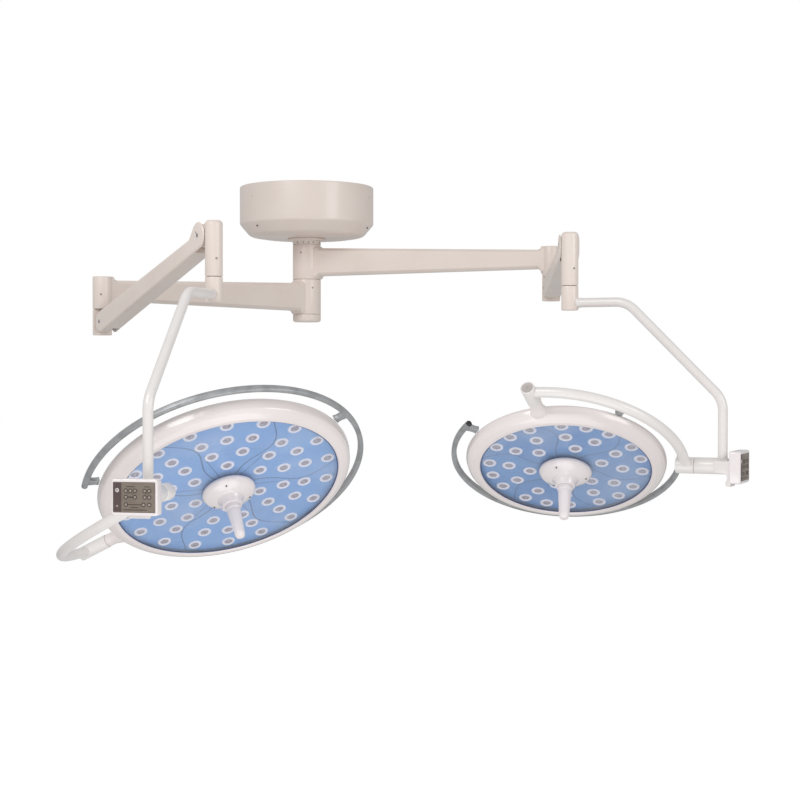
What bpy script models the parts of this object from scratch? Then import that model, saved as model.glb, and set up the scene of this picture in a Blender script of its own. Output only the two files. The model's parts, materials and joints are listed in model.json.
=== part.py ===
"""Ceiling surgical light with two lamp heads on a shared column.

A ceiling plate carries a hollow spindle inside a bowl-shaped canopy. Two extension arms turn on
the spindle, one above the other. Each carries a spring arm that lifts and lowers, a bent yoke
tube that swivels under it, a quarter-circle gimbal arc that turns on the yoke's axle, and a round
LED lamp head that tips on the far end of the arc. Metres, +Z up, ceiling face at z = 0.
"""

import math
from dataclasses import dataclass

import bmesh
import bpy
from mathutils import Matrix, Vector

# Fits and general fineness.
FIT = 0.0003             # air left between pieces that touch or slide
SEAM = 0.0008            # visible joint line between two hubs
RING_STEPS = 36          # facets round a lamp head or the canopy
HUB_STEPS = 18           # facets round a hub
PIN_STEPS = 12           # facets round a pin
BORE_STEPS = 16          # facets round a bore that something turns in

# Ceiling parts.
PLATE_RADIUS = 0.150
PLATE_THICK = 0.012
ANCHOR_COUNT = 6
ANCHOR_CIRCLE = 0.120
ANCHOR_RADIUS = 0.0065
CABLE_HOLE_RADIUS = 0.020
CABLE_HOLE_OUT = 0.070
SPINDLE_RADIUS = 0.030
SPINDLE_BORE = 0.022
SPINDLE_FLANGE_RADIUS = 0.095
SPINDLE_FLANGE_THICK = 0.012
CANOPY_RADIUS = 0.2235
CANOPY_WALL = 0.003
CANOPY_DEPTH = 0.170
CANOPY_SIDE = 0.125      # height of the straight wall
CANOPY_FLOOR_RADIUS = 0.186
COLLAR_RADIUS = 0.064
COLLAR_FLANGE = 0.008
COLLAR_DEPTH = 0.0195
NUT_RADIUS = 0.041
NUT_THICK = 0.010
CAP_DEPTH = 0.025
CAP_WALL = 0.003

# Extension arms.
HUB_RADIUS = 0.0468
HUB_HEIGHT = 0.116
BUSH_WALL = 0.0045
BUSH_FLANGE_RADIUS = 0.042
ARM_REACH = 0.841        # column axis to elbow axis
ARM_ROOT_LOW = 0.011
ARM_ROOT_HIGH = 0.103
ARM_ROOT_WIDTH = 0.062
ARM_TIP_LOW = 0.019
ARM_TIP_HIGH = 0.078
ARM_TIP_WIDTH = 0.046
ARM_EDGE = 0.009         # rounding of the arm's long edges
ARM_WALL = 0.006         # wall of the hollow arm, where the cables run
ELBOW_RADIUS = 0.0287
ELBOW_ABOVE = 0.096      # elbow hub above the elbow joint line
ELBOW_DROP = 0.0065      # elbow joint line below the column hub's lower face
PIN_RADIUS = 0.009
ELBOW_PIN_UP = 0.080
ELBOW_PIN_DOWN = 0.066

# Spring arms.
ROOT_DEPTH = 0.078       # root bracket under the elbow joint line
HINGE_DROP = 0.038       # root hinge under the elbow joint line
HINGE_OUT = 0.038        # root hinge in front of the elbow axis
LINK_LENGTH = 0.6855     # between the two hinges of a spring arm
TONGUE_HALF = 0.016
TONGUE_HEIGHT_HALF = 0.030
TONGUE_END = 0.016
HINGE_PIN_RADIUS = 0.007
END_HUB_RADIUS = 0.0229
SHELL_WALL = 0.0036
SHELL_HALF = END_HUB_RADIUS + 0.0005 + SHELL_WALL   # the end hub fits between the cheeks
SHELL_ROOT_END = 0.032   # radius of the cheeks at the root
SHELL_TIP_END = 0.036    # radius of the cheeks at the tip
SHELL_ROOT_TOP = 0.030
SHELL_TIP_TOP = 0.006
SHELL_ROOT_BOTTOM = -0.032
SHELL_TIP_BOTTOM = -0.038
SHELL_MOUTH = 0.031      # where the shell's top and bottom walls start
SPRING_RADIUS = 0.009
SPRING_RISE = 0.003
SPRING_FROM = 0.066
SPRING_TO = 0.350
LEVEL_BAR_DROP = 0.018
LEVEL_BAR_HALF = 0.004
LEVEL_BAR_EYE = 0.0075
LEVEL_BAR_IN = 0.0172
LEVEL_BAR_OUT = 0.0222

# End hubs and yokes.
END_OUT = 0.043          # end hub axis in front of the tip hinge
END_HUB_UP = 0.0367      # above the tip hinge
END_HUB_DOWN = 0.108     # joint line below the tip hinge
YOKE_HUB_DEPTH = 0.0663
SWIVEL_PIN_UP = 0.074
SWIVEL_PIN_DOWN = 0.020
TUBE_DROP = 0.0462       # yoke tube's level part under the joint line
TUBE_RADIUS = 0.0125
TUBE_BEND = 0.050
AXLE_RADIUS = 0.0215     # knuckles of the tilt axle
AXLE_PIN_RADIUS = 0.010
AXLE_IN = 0.027          # inner knuckle reaches this far inside the arc's centre line
AXLE_OUT = 0.022         # and this far outside it, where the joint line is
KNUCKLE_TO_TUBE = 0.095  # arc's centre line to the yoke tube's axis
KNUCKLE_PAST = 0.016
BLOCK_HALF = 0.017
BLOCK_NEAR = 0.034       # block's side away from the lamp's right
FOOT_DEPTH = 0.050
FOOT_THICK = 0.012

# Control boxes.
BOX_OUT = 0.030          # back of the box outside the yoke tube's axis
BOX_THICK = 0.030
BOX_WIDTH = 0.112
BOX_HEIGHT = 0.084
BOX_SHIFT = -0.010
BOX_ROUND = 0.009
BOX_WALL = 0.004
PANEL_WIDTH = 0.102
PANEL_HEIGHT = 0.069
PANEL_THICK = 0.003
BUTTON_RADIUS = 0.0048
BUTTON_TALL = 0.004
BUTTON_PROUD = 0.0012
BUTTON_SIDE = -0.041     # from the panel's middle
BUTTON_UP = 0.016

# Gimbal arcs and pivots.
ARC_TUBE_RADIUS = 0.0135
PIVOT_HUB_RADIUS = 0.018
PIVOT_PIN_RADIUS = 0.009
PIVOT_CAP_RADIUS = 0.0145
PIVOT_CAP_THICK = 0.003
BOSS_RADIUS = 0.0165
BOSS_LENGTH = 0.037      # from the rim's outside to the pivot's joint line

# Lamp heads, measured from the crossing of the two tilt axes.
RIM_WIDTH = 0.040
RIM_TOP = 0.012
LENS_RECESS = 0.005      # lens plate behind the rim's opening
LENS_THICK = 0.010
LENS_LAP = 0.005
RIM_WALL = 0.016
BOARD_THICK = 0.004
HOUSING_WALL = 0.003
HOUSING_RISE = 0.046
RAIL_WIDTH = 0.016
RAIL_THICK = 0.013
RAIL_GAP = 0.034         # rail's centre line outside the rim
RAIL_LEVEL = 0.011
RAIL_END_ANGLE = 42      # degrees either side of the pivot
RAIL_STEPS = 26
BRACKET_WIDTH = 0.030
BRACKET_STEP = 0.001     # bracket thinner than the rail, above and below
HANDLE_HUB_RADIUS = 0.071
HANDLE_HUB_DEPTH = 0.052
HANDLE_RADIUS = 0.0205
HANDLE_TIP_RADIUS = 0.0145
HANDLE_LENGTH = 0.098
STEM_RADIUS = 0.009
STEM_LENGTH = 0.030


@dataclass(frozen=True)
class Head:
    """One arm of the light with its lamp head, and the angles that it rests at, in degrees."""

    side: str
    hub_low: float           # lower face of its column hub
    swing: float
    elbow: float
    lift: float
    swivel: float
    arc_tilt: float
    lamp_tilt: float
    opening: float           # radius of the lamp's opening
    face_drop: float         # opening under the tilt axes
    yoke_reach: float        # swivel axis to the tube's vertical run
    yoke_level: float        # length of the tube's level run
    yoke_drop: float         # swivel joint line down to the tilt axle
    behind: float            # lamp's middle behind the swivel axis
    arc_axle: float          # arc's centre line at the axle
    arc_pivot: float         # arc's centre line at the pivot
    arc_round: float

    @property
    def rim(self):
        return self.opening + RIM_WIDTH

    @property
    def boss_end(self):
        return self.rim + BOSS_LENGTH


COLLAR_TOP = -CANOPY_DEPTH - FIT
COLUMN_TOP = COLLAR_TOP - COLLAR_DEPTH - SEAM
UPPER_HUB_LOW = COLUMN_TOP - HUB_HEIGHT
LOWER_HUB_LOW = UPPER_HUB_LOW - SEAM - HUB_HEIGHT
NUT_TOP = LOWER_HUB_LOW - SEAM
SPINDLE_END = NUT_TOP - NUT_THICK - 0.002

RIGHT = Head(
    side="right", hub_low=UPPER_HUB_LOW, swing=-19.1, elbow=-72.6, lift=6.3, swivel=67.5,
    arc_tilt=-33.3, lamp_tilt=8.6, opening=0.2303, face_drop=0.030, yoke_reach=0.4165,
    yoke_level=0.158, yoke_drop=0.4775, behind=0.0105, arc_axle=0.332, arc_pivot=0.352,
    arc_round=0.290,
)
LEFT = Head(
    side="left", hub_low=LOWER_HUB_LOW, swing=-132.7, elbow=76.0, lift=17.4, swivel=-46.0,
    arc_tilt=26.9, lamp_tilt=29.7, opening=0.2975, face_drop=0.038, yoke_reach=0.455,
    yoke_level=0.190, yoke_drop=0.530, behind=0.090, arc_axle=0.450, arc_pivot=0.440,
    arc_round=0.380,
)

WARM_WHITE = ("warm_white", (0.80, 0.73, 0.69), 0.38, 0.0)
GLOSS_WHITE = ("gloss_white", (0.86, 0.82, 0.81), 0.18, 0.0)
TUBE_WHITE = ("tube_white", (0.80, 0.79, 0.78), 0.30, 0.0)
STEEL = ("steel", (0.55, 0.55, 0.56), 0.32, 1.0)
DARK_STEEL = ("dark_steel", (0.22, 0.22, 0.23), 0.40, 1.0)
NYLON = ("nylon", (0.70, 0.68, 0.62), 0.55, 0.0)
BLUE_LENS = ("blue_lens", (0.22, 0.42, 0.78), 0.15, 0.0)
BOARD = ("aluminium_board", (0.72, 0.73, 0.74), 0.40, 1.0)
RAIL_GREY = ("rail_grey", (0.36, 0.37, 0.38), 0.40, 0.6)
PANEL_GREY = ("panel_grey", (0.30, 0.27, 0.25), 0.45, 0.0)
BUTTON_WHITE = ("button_white", (0.75, 0.73, 0.70), 0.40, 0.0)


# ---------------------------------------------------------------- meshes
def finished(shape):
    """A mesh from a bmesh, with its faces turned outwards."""
    bmesh.ops.remove_doubles(shape, verts=shape.verts, dist=1e-6)
    bmesh.ops.recalc_face_normals(shape, faces=shape.faces)
    mesh = bpy.data.meshes.new("shape")
    shape.to_mesh(mesh)
    shape.free()
    return mesh


def turned(profile, steps):
    """Turns a profile of (radius, height) about Z. A profile off the axis is closed into a ring."""
    shape = bmesh.new()
    verts = [shape.verts.new((radius, 0, height)) for radius, height in profile]
    edges = [shape.edges.new(pair) for pair in zip(verts, verts[1:])]
    if profile[0][0] > 0 or profile[-1][0] > 0:
        edges.append(shape.edges.new((verts[-1], verts[0])))
    bmesh.ops.spin(
        shape, geom=verts + edges, cent=(0, 0, 0), axis=(0, 0, 1), angle=math.tau, steps=steps,
        use_merge=True,
    )
    return finished(shape)


def moved(mesh, matrix):
    mesh.transform(matrix)
    return mesh


RING_TURN = Matrix.Rotation(math.pi / RING_STEPS, 4, "Z")    # puts a flat under the pivot
AXIS_TURN = {
    "X": Matrix.Rotation(math.pi / 2, 4, "Y"),
    "-Y": Matrix.Rotation(math.pi / 2, 4, "X"),
    "Y": Matrix.Rotation(-math.pi / 2, 4, "X"),
    "Z": Matrix.Identity(4),
}


def rod(radius, low, high, axis="Z", at=(0, 0, 0), steps=PIN_STEPS, edge=0.0):
    """A round bar from low to high along an axis, with its end edges chamfered by edge."""
    profile = [(0, high), (radius - edge, high), (radius, high - edge)]
    profile += [(radius, low + edge), (radius - edge, low), (0, low)]
    if not edge:
        profile = [(0, high), (radius, high), (radius, low), (0, low)]
    return moved(turned(profile, steps), Matrix.Translation(at) @ AXIS_TURN[axis])


def clear_radius(radius, steps=BORE_STEPS):
    """Radius of a faceted bore whose flats clear a round piece of this radius that turns in it."""
    return (radius + FIT) / math.cos(math.pi / steps)


def bore(radius, low, high, axis="Z", at=(0, 0, 0)):
    """The cutter of a bore that a pin of this radius turns in."""
    return rod(clear_radius(radius), low, high, axis, at, BORE_STEPS)


def sleeve(inner, outer, low, high, steps=HUB_STEPS):
    """A plain ring about Z."""
    return turned([(outer, high), (outer, low), (inner, low), (inner, high)], steps)


def lofted(near, far):
    """A closed solid between two outlines that have the same number of points."""
    shape = bmesh.new()
    ends = [[shape.verts.new(point) for point in outline] for outline in (near, far)]
    loops = []
    for verts in ends:
        loops += [shape.edges.new((a, b)) for a, b in zip(verts, verts[1:] + verts[:1])]
        shape.faces.new(verts)
    bmesh.ops.bridge_loops(shape, edges=loops)
    return finished(shape)


def block(low, high, edge=0.0):
    """A box between two corners, with its edges rounded by edge."""
    shape = bmesh.new()
    bmesh.ops.create_cube(shape, size=1)
    size = Vector(high) - Vector(low)
    middle = (Vector(high) + Vector(low)) / 2
    bmesh.ops.transform(shape, matrix=Matrix.LocRotScale(middle, None, size), verts=shape.verts)
    if edge:
        bmesh.ops.bevel(
            shape, geom=list(shape.edges), offset=edge, segments=2, affect="EDGES", profile=0.5,
        )
    return finished(shape)


def plate_y(outline, low, high):
    """An outline of (x, z) made solid from y = low to y = high."""
    return lofted([(x, low, z) for x, z in outline], [(x, high, z) for x, z in outline])


def arc_points(centre, radius, start, end, count):
    """Points of (x, z) on a round stretch, angles in degrees."""
    turn = [math.radians(start + (end - start) * step / (count - 1)) for step in range(count)]
    return [(centre[0] + radius * math.cos(a), centre[1] + radius * math.sin(a)) for a in turn]


def rounded_path(corners, radius, count=5):
    """A route through corners, each inner corner replaced by an arc of the given radius."""
    corners = [Vector(corner) for corner in corners]
    path = [corners[0]]
    for before, corner, after in zip(corners, corners[1:], corners[2:]):
        inward, outward = (before - corner).normalized(), (after - corner).normalized()
        half = inward.angle(outward) / 2
        centre = corner + (inward + outward).normalized() * radius / math.sin(half)
        first = corner + inward * radius / math.tan(half)
        last = corner + outward * radius / math.tan(half)
        for step in range(count):
            blend = step / (count - 1)
            path.append(centre + (first - centre).slerp(last - centre, blend) * radius)
    return path + [corners[-1]]


def swept(path, radius, sides=3):
    """A round tube carried along a route, with closed ends."""
    curve = bpy.data.curves.new("route", "CURVE")
    curve.dimensions = "3D"
    curve.bevel_depth = radius
    curve.bevel_resolution = sides
    curve.use_fill_caps = True
    spline = curve.splines.new("POLY")
    spline.points.add(len(path) - 1)
    for point, place in zip(spline.points, path):
        point.co = (*place, 1)
    helper = bpy.data.objects.new("route", curve)
    mesh = bpy.data.meshes.new_from_object(helper)
    bpy.data.objects.remove(helper)
    shape = bmesh.new()
    shape.from_mesh(mesh)
    return finished(shape)


def boolean(mesh, tools, operation):
    """Joins tools to a mesh, or cuts them out of it, one after another."""
    for tool in tools:
        base, cutter = (bpy.data.objects.new("helper", data) for data in (mesh, tool))
        for helper in (base, cutter):
            bpy.context.scene.collection.objects.link(helper)
        modifier = base.modifiers.new("Boolean", "BOOLEAN")
        modifier.operation = operation
        modifier.object = cutter
        graph = bpy.context.evaluated_depsgraph_get()
        mesh = bpy.data.meshes.new_from_object(base.evaluated_get(graph))
        for helper in (base, cutter):
            bpy.data.objects.remove(helper)
    return mesh


def joined(mesh, *tools):
    return boolean(mesh, tools, "UNION")


def cut(mesh, *tools):
    return boolean(mesh, tools, "DIFFERENCE")


# ---------------------------------------------------------------- objects
def material(finish):
    """The material of a finish, made the first time that it is used."""
    name, colour, roughness, metallic = finish
    if name in bpy.data.materials:
        return bpy.data.materials[name]
    made = bpy.data.materials.new(name)
    made.use_nodes = True
    shader = made.node_tree.nodes["Principled BSDF"]
    shader.inputs["Base Color"].default_value = (*colour, 1)
    shader.inputs["Roughness"].default_value = roughness
    shader.inputs["Metallic"].default_value = metallic
    return made


def frame(name, parent=None, at=(0, 0, 0), turn=(0, 0, 0)):
    """An empty on a joint's axis, placed in its parent's frame; turn is in degrees."""
    empty = bpy.data.objects.new(name, None)
    empty.parent = parent
    empty.location = at
    empty.rotation_euler = [math.radians(angle) for angle in turn]
    bpy.context.scene.collection.objects.link(empty)
    return empty


def piece(name, mesh, parent, finish, at=(0, 0, 0)):
    """One named sub-part in its parent's frame."""
    made = bpy.data.objects.new(name, mesh)
    made.parent = parent
    made.location = at
    mesh.name = name
    mesh.materials.clear()
    mesh.materials.append(material(finish))
    mesh.shade_smooth()
    mesh.set_sharp_from_angle(angle=math.radians(32))
    bpy.context.scene.collection.objects.link(made)
    return made


# ---------------------------------------------------------------- ceiling parts
def ceiling_parts(base):
    plate = rod(PLATE_RADIUS, -PLATE_THICK, 0, steps=RING_STEPS)
    for index in range(ANCHOR_COUNT):
        angle = math.tau * index / ANCHOR_COUNT
        at = (ANCHOR_CIRCLE * math.cos(angle), ANCHOR_CIRCLE * math.sin(angle), 0)
        plate = cut(plate, rod(ANCHOR_RADIUS, -2 * PLATE_THICK, PLATE_THICK, at=at, steps=12))
    cable = rod(CABLE_HOLE_RADIUS, -2 * PLATE_THICK, PLATE_THICK, at=(0, CABLE_HOLE_OUT, 0))
    piece("ceiling_plate", cut(plate, cable), base, DARK_STEEL)

    flange_top = -PLATE_THICK - FIT
    flange_low = flange_top - SPINDLE_FLANGE_THICK
    spindle = turned(
        [(SPINDLE_FLANGE_RADIUS, flange_top), (SPINDLE_FLANGE_RADIUS, flange_low),
         (SPINDLE_RADIUS, flange_low), (SPINDLE_RADIUS, SPINDLE_END),
         (SPINDLE_BORE, SPINDLE_END), (SPINDLE_BORE, flange_top)], HUB_STEPS,
    )
    piece("spindle", spindle, base, STEEL)

    top = -0.0005
    knee = arc_points((CANOPY_FLOOR_RADIUS, -CANOPY_SIDE), 1, 0, -90, 6)
    wide = CANOPY_RADIUS - CANOPY_FLOOR_RADIUS
    deep = CANOPY_DEPTH - CANOPY_SIDE

    def knee_points(shrink):
        return [
            (CANOPY_FLOOR_RADIUS + (x - CANOPY_FLOOR_RADIUS) * (wide - shrink),
             -CANOPY_SIDE + (z + CANOPY_SIDE) * (deep - shrink))
            for x, z in knee
        ]

    hole = SPINDLE_RADIUS + 0.002
    outside = [(CANOPY_RADIUS, top)] + knee_points(0) + [(hole, -CANOPY_DEPTH)]
    inside = [(hole, -CANOPY_DEPTH + CANOPY_WALL)] + knee_points(CANOPY_WALL)[::-1]
    inside += [(CANOPY_RADIUS - CANOPY_WALL, top)]
    piece("canopy", turned(outside + inside, RING_STEPS), base, WARM_WHITE)

    bore = SPINDLE_RADIUS + FIT
    collar = turned(
        [(COLLAR_RADIUS, COLLAR_TOP), (COLLAR_RADIUS, COLLAR_TOP - COLLAR_FLANGE),
         (HUB_RADIUS, COLLAR_TOP - COLLAR_FLANGE - 0.003),
         (HUB_RADIUS, COLLAR_TOP - COLLAR_DEPTH), (bore, COLLAR_TOP - COLLAR_DEPTH),
         (bore, COLLAR_TOP)], HUB_STEPS,
    )
    piece("canopy_collar", collar, base, WARM_WHITE)
    nut = sleeve(bore, NUT_RADIUS, NUT_TOP - NUT_THICK, NUT_TOP)
    piece("spindle_nut", nut, base, STEEL)

    cap = cap_shape(NUT_TOP - CAP_DEPTH, NUT_RADIUS + FIT)
    piece("spindle_cap", cap, base, WARM_WHITE)


def cap_shape(low, over_nut):
    """The cup that covers the nut: a rounded block with the nut's pocket cut out from above."""
    body = turned(
        [(0, NUT_TOP), (HUB_RADIUS, NUT_TOP), (HUB_RADIUS, low + 0.007),
         (HUB_RADIUS - 0.002, low + 0.002), (HUB_RADIUS - 0.007, low), (0, low)], HUB_STEPS,
    )
    return cut(body, rod(over_nut, SPINDLE_END - FIT - 0.004, NUT_TOP + 0.01, steps=HUB_STEPS))


# ---------------------------------------------------------------- extension arm
def arm_section(at_x, width, low, high, wall=0.0):
    """The arm's cross-section at a distance from the column, with cut corners, less a wall."""
    half, edge = width / 2 - wall, ARM_EDGE
    low, high = low + wall, high - wall
    outline = [
        (-half, low + edge), (-half + edge, low), (half - edge, low), (half, low + edge),
        (half, high - edge), (half - edge, high), (-half + edge, high), (-half, high - edge),
    ]
    return [(at_x, y, z) for y, z in outline]


def extension_arm(head, base):
    swing = frame(f"{head.side}_swing_axis", base, (0, 0, head.hub_low), (0, 0, head.swing))
    bush_radius = SPINDLE_RADIUS + FIT + BUSH_WALL
    hub = rod(HUB_RADIUS, 0, HUB_HEIGHT, steps=HUB_STEPS, edge=0.0015)
    beam = lofted(
        arm_section(HUB_RADIUS * 0.4, ARM_ROOT_WIDTH, ARM_ROOT_LOW, ARM_ROOT_HIGH),
        arm_section(ARM_REACH - ELBOW_RADIUS * 0.4, ARM_TIP_WIDTH, ARM_TIP_LOW, ARM_TIP_HIGH),
    )
    hollow = lofted(
        arm_section(HUB_RADIUS * 0.4, ARM_ROOT_WIDTH, ARM_ROOT_LOW, ARM_ROOT_HIGH, ARM_WALL),
        arm_section(
            ARM_REACH - ELBOW_RADIUS - ARM_WALL, ARM_TIP_WIDTH, ARM_TIP_LOW, ARM_TIP_HIGH, ARM_WALL,
        ),
    )
    elbow_low = -ELBOW_DROP
    elbow = rod(
        ELBOW_RADIUS, elbow_low, elbow_low + ELBOW_ABOVE, at=(ARM_REACH, 0, 0), steps=HUB_STEPS,
        edge=0.0015,
    )
    arm = joined(beam, hub, elbow)
    arm = cut(
        arm, hollow,
        rod(bush_radius + FIT, -0.01, HUB_HEIGHT + 0.01, steps=HUB_STEPS),
        rod(BUSH_FLANGE_RADIUS + FIT, HUB_HEIGHT - 0.003, HUB_HEIGHT + 0.01, steps=HUB_STEPS),
        rod(PIN_RADIUS + FIT, -0.02, elbow_low + ELBOW_PIN_UP + FIT, at=(ARM_REACH, 0, 0)),
    )
    piece(f"{head.side}_extension_arm", arm, swing, WARM_WHITE)

    flange_low = HUB_HEIGHT - 0.003 + FIT
    inside = clear_radius(SPINDLE_RADIUS, HUB_STEPS)
    bush = turned(
        [(BUSH_FLANGE_RADIUS, HUB_HEIGHT), (BUSH_FLANGE_RADIUS, flange_low),
         (bush_radius, flange_low), (bush_radius, 0.002),
         (inside, 0.002), (inside, HUB_HEIGHT)], HUB_STEPS,
    )
    piece(f"{head.side}_hub_bush", bush, swing, NYLON)
    pin = rod(PIN_RADIUS, -ELBOW_PIN_DOWN, ELBOW_PIN_UP, edge=0.001)
    piece(f"{head.side}_elbow_pin", pin, swing, STEEL, (ARM_REACH, 0, elbow_low))
    return swing


# ---------------------------------------------------------------- spring arm
def hinge_tongue(past):
    """The tongue of a hinge about the origin, running back along -X, with a round end."""
    outline = arc_points((0, 0), TONGUE_END, 90, -90, 9)
    outline += [(-TONGUE_END, -TONGUE_HEIGHT_HALF), (-past, -TONGUE_HEIGHT_HALF)]
    outline += [(-past, TONGUE_HEIGHT_HALF), (-TONGUE_END, TONGUE_HEIGHT_HALF)]
    return plate_y(outline, -TONGUE_HALF, TONGUE_HALF)


def root_bracket(head, swing):
    elbow = frame(
        f"{head.side}_elbow_axis", swing, (ARM_REACH, 0, -ELBOW_DROP), (0, 0, head.elbow),
    )
    drum = rod(ELBOW_RADIUS, -ROOT_DEPTH, -SEAM, steps=HUB_STEPS, edge=0.0015)
    behind_cheeks = HINGE_OUT - SHELL_ROOT_END - 0.002
    front = block((behind_cheeks, -0.05, -0.1), (0.06, 0.05, 0.02))
    tongue = moved(
        hinge_tongue(HINGE_OUT + 0.010), Matrix.Translation((HINGE_OUT, 0, -HINGE_DROP)),
    )
    bracket = joined(cut(drum, front), tongue)
    bracket = cut(
        bracket,
        bore(PIN_RADIUS, -ELBOW_PIN_DOWN - FIT, 0.01),
        rod(HINGE_PIN_RADIUS + FIT, -0.03, 0.03, "Y", (HINGE_OUT, 0, -HINGE_DROP)),
    )
    piece(f"{head.side}_root_bracket", bracket, elbow, WARM_WHITE)
    pin = rod(HINGE_PIN_RADIUS, -SHELL_HALF, SHELL_HALF, "Y", edge=0.0008)
    piece(f"{head.side}_root_pin", pin, elbow, STEEL, (HINGE_OUT, 0, -HINGE_DROP))
    return elbow


def shell_outline():
    """The spring arm's side view: the rounds of the cheeks and the walls between them."""
    outline = arc_points((0, 0), SHELL_ROOT_END, 270, 110, 9)
    outline += [(0.004, SHELL_ROOT_TOP)]
    outline += [(LINK_LENGTH - SHELL_TIP_END * 1.35, SHELL_TIP_TOP + 0.002)]
    outline += arc_points((LINK_LENGTH, 0), SHELL_TIP_END, 150, -90, 12)
    outline += [(0.02, SHELL_ROOT_BOTTOM)]
    return outline


def spring_arm(head, elbow):
    lift = frame(
        f"{head.side}_lift_axis", elbow, (HINGE_OUT, 0, -HINGE_DROP), (0, -head.lift, 0),
    )
    inner, bored = SHELL_HALF - SHELL_WALL, SHELL_HALF + 0.003
    shell = plate_y(shell_outline(), -SHELL_HALF, SHELL_HALF)
    run = LINK_LENGTH - SHELL_MOUTH
    hollow = plate_y(
        [(SHELL_MOUTH - 0.004, SHELL_ROOT_TOP - SHELL_WALL),
         (run + 0.004, SHELL_TIP_TOP - SHELL_WALL),
         (run + 0.004, SHELL_TIP_BOTTOM + SHELL_WALL),
         (SHELL_MOUTH - 0.004, SHELL_ROOT_BOTTOM + SHELL_WALL)], -inner, inner,
    )
    shell = cut(
        shell, hollow,
        block((-0.06, -inner, -0.06), (SHELL_MOUTH, inner, 0.06)),
        block((run, -inner, -0.06), (LINK_LENGTH + 0.06, inner, 0.06)),
        bore(HINGE_PIN_RADIUS, -bored, bored, "Y"),
        bore(HINGE_PIN_RADIUS, -bored, bored, "Y", (LINK_LENGTH, 0, 0)),
    )
    piece(f"{head.side}_spring_arm_shell", shell, lift, WARM_WHITE)

    spring = rod(SPRING_RADIUS, SPRING_FROM, SPRING_TO, "X", edge=0.001)
    saddle = block(
        (SPRING_TO - 0.030, -inner + FIT, SPRING_RISE * -1 - 0.002),
        (SPRING_TO - 0.012, inner - FIT, 0.004),
    )
    piece(f"{head.side}_balance_spring", joined(spring, saddle), lift, DARK_STEEL,
          (0, 0, SPRING_RISE))

    level = frame(
        f"{head.side}_level_bar_axis", elbow, (HINGE_OUT, 0, -HINGE_DROP - LEVEL_BAR_DROP),
        (0, -head.lift, 0),
    )
    eye_angle = math.degrees(math.asin(LEVEL_BAR_HALF / LEVEL_BAR_EYE))
    outline = arc_points((0, 0), LEVEL_BAR_EYE, eye_angle, 360 - eye_angle, 11)
    outline += arc_points((LINK_LENGTH, 0), LEVEL_BAR_EYE, -180 + eye_angle, 180 - eye_angle, 11)
    bar = plate_y(outline, LEVEL_BAR_IN, LEVEL_BAR_OUT)
    piece(f"{head.side}_level_bar", bar, level, STEEL)
    return lift


def end_hub(head, lift):
    level = frame(f"{head.side}_level_axis", lift, (LINK_LENGTH, 0, 0), (0, head.lift, 0))
    low = -END_HUB_DOWN + SEAM
    hub = rod(END_HUB_RADIUS, low, END_HUB_UP, at=(END_OUT, 0, 0), steps=HUB_STEPS, edge=0.004)
    hub = joined(hub, moved(hinge_tongue(END_OUT), Matrix.Rotation(math.pi, 4, "Z")))
    hub = cut(
        hub,
        bore(PIN_RADIUS, low - 0.01, -END_HUB_DOWN + SWIVEL_PIN_UP + FIT, at=(END_OUT, 0, 0)),
        rod(HINGE_PIN_RADIUS + FIT, -0.03, 0.03, "Y"),
    )
    piece(f"{head.side}_end_hub", hub, level, WARM_WHITE)
    pin = rod(HINGE_PIN_RADIUS, -SHELL_HALF, SHELL_HALF, "Y", edge=0.0008)
    piece(f"{head.side}_tip_pin", pin, level, STEEL)
    return level


# ---------------------------------------------------------------- yoke and control box
def yoke(head, level):
    swivel = frame(
        f"{head.side}_swivel_axis", level, (END_OUT, 0, -END_HUB_DOWN), (0, 0, head.swivel),
    )
    fall = head.yoke_reach - head.yoke_level
    axle_z = -head.yoke_drop
    route = rounded_path(
        [(END_HUB_RADIUS * 0.5, 0, -TUBE_DROP), (head.yoke_level, 0, -TUBE_DROP),
         (head.yoke_reach, 0, -TUBE_DROP - fall),
         (head.yoke_reach, 0, axle_z + AXLE_RADIUS + FIT)], TUBE_BEND,
    )
    hub = rod(END_HUB_RADIUS, -YOKE_HUB_DEPTH, -SEAM, steps=HUB_STEPS, edge=0.003)
    bent = joined(hub, swept(route, TUBE_RADIUS))
    bent = cut(bent, rod(PIN_RADIUS + FIT, -SWIVEL_PIN_DOWN - FIT, 0.01))
    piece(f"{head.side}_yoke", bent, swivel, TUBE_WHITE)
    pin = rod(PIN_RADIUS, -SWIVEL_PIN_DOWN, SWIVEL_PIN_UP, edge=0.001)
    piece(f"{head.side}_swivel_pin", pin, swivel, STEEL)

    seam_x = head.yoke_reach - KNUCKLE_TO_TUBE + AXLE_OUT
    back = head.yoke_reach + BOX_OUT - FIT
    at = (0, 0, axle_z)
    body = rod(
        AXLE_RADIUS, seam_x + SEAM, head.yoke_reach + KNUCKLE_PAST, "X", at, HUB_STEPS, 0.0015,
    )
    arm = block(
        (head.yoke_reach - 0.004, -BLOCK_NEAR, axle_z - BLOCK_HALF),
        (back, BLOCK_HALF - 0.004, axle_z + BLOCK_HALF), 0.003,
    )
    foot = block(
        (back - FOOT_THICK, -BLOCK_NEAR - 0.006, axle_z - FOOT_DEPTH),
        (back, BLOCK_HALF - 0.007, axle_z + BLOCK_HALF - 0.003), 0.002,
    )
    body = joined(body, arm, foot)
    body = cut(
        body, rod(AXLE_PIN_RADIUS + FIT, seam_x - 0.01, head.yoke_reach - 0.020, "X", at),
    )
    piece(f"{head.side}_axle_knuckle", body, swivel, TUBE_WHITE)
    pin = rod(
        AXLE_PIN_RADIUS, seam_x - AXLE_IN - AXLE_OUT + 0.008, head.yoke_reach - 0.020 - FIT, "X",
        edge=0.001,
    )
    piece(f"{head.side}_axle_pin", pin, swivel, STEEL, at)
    return swivel


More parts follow.
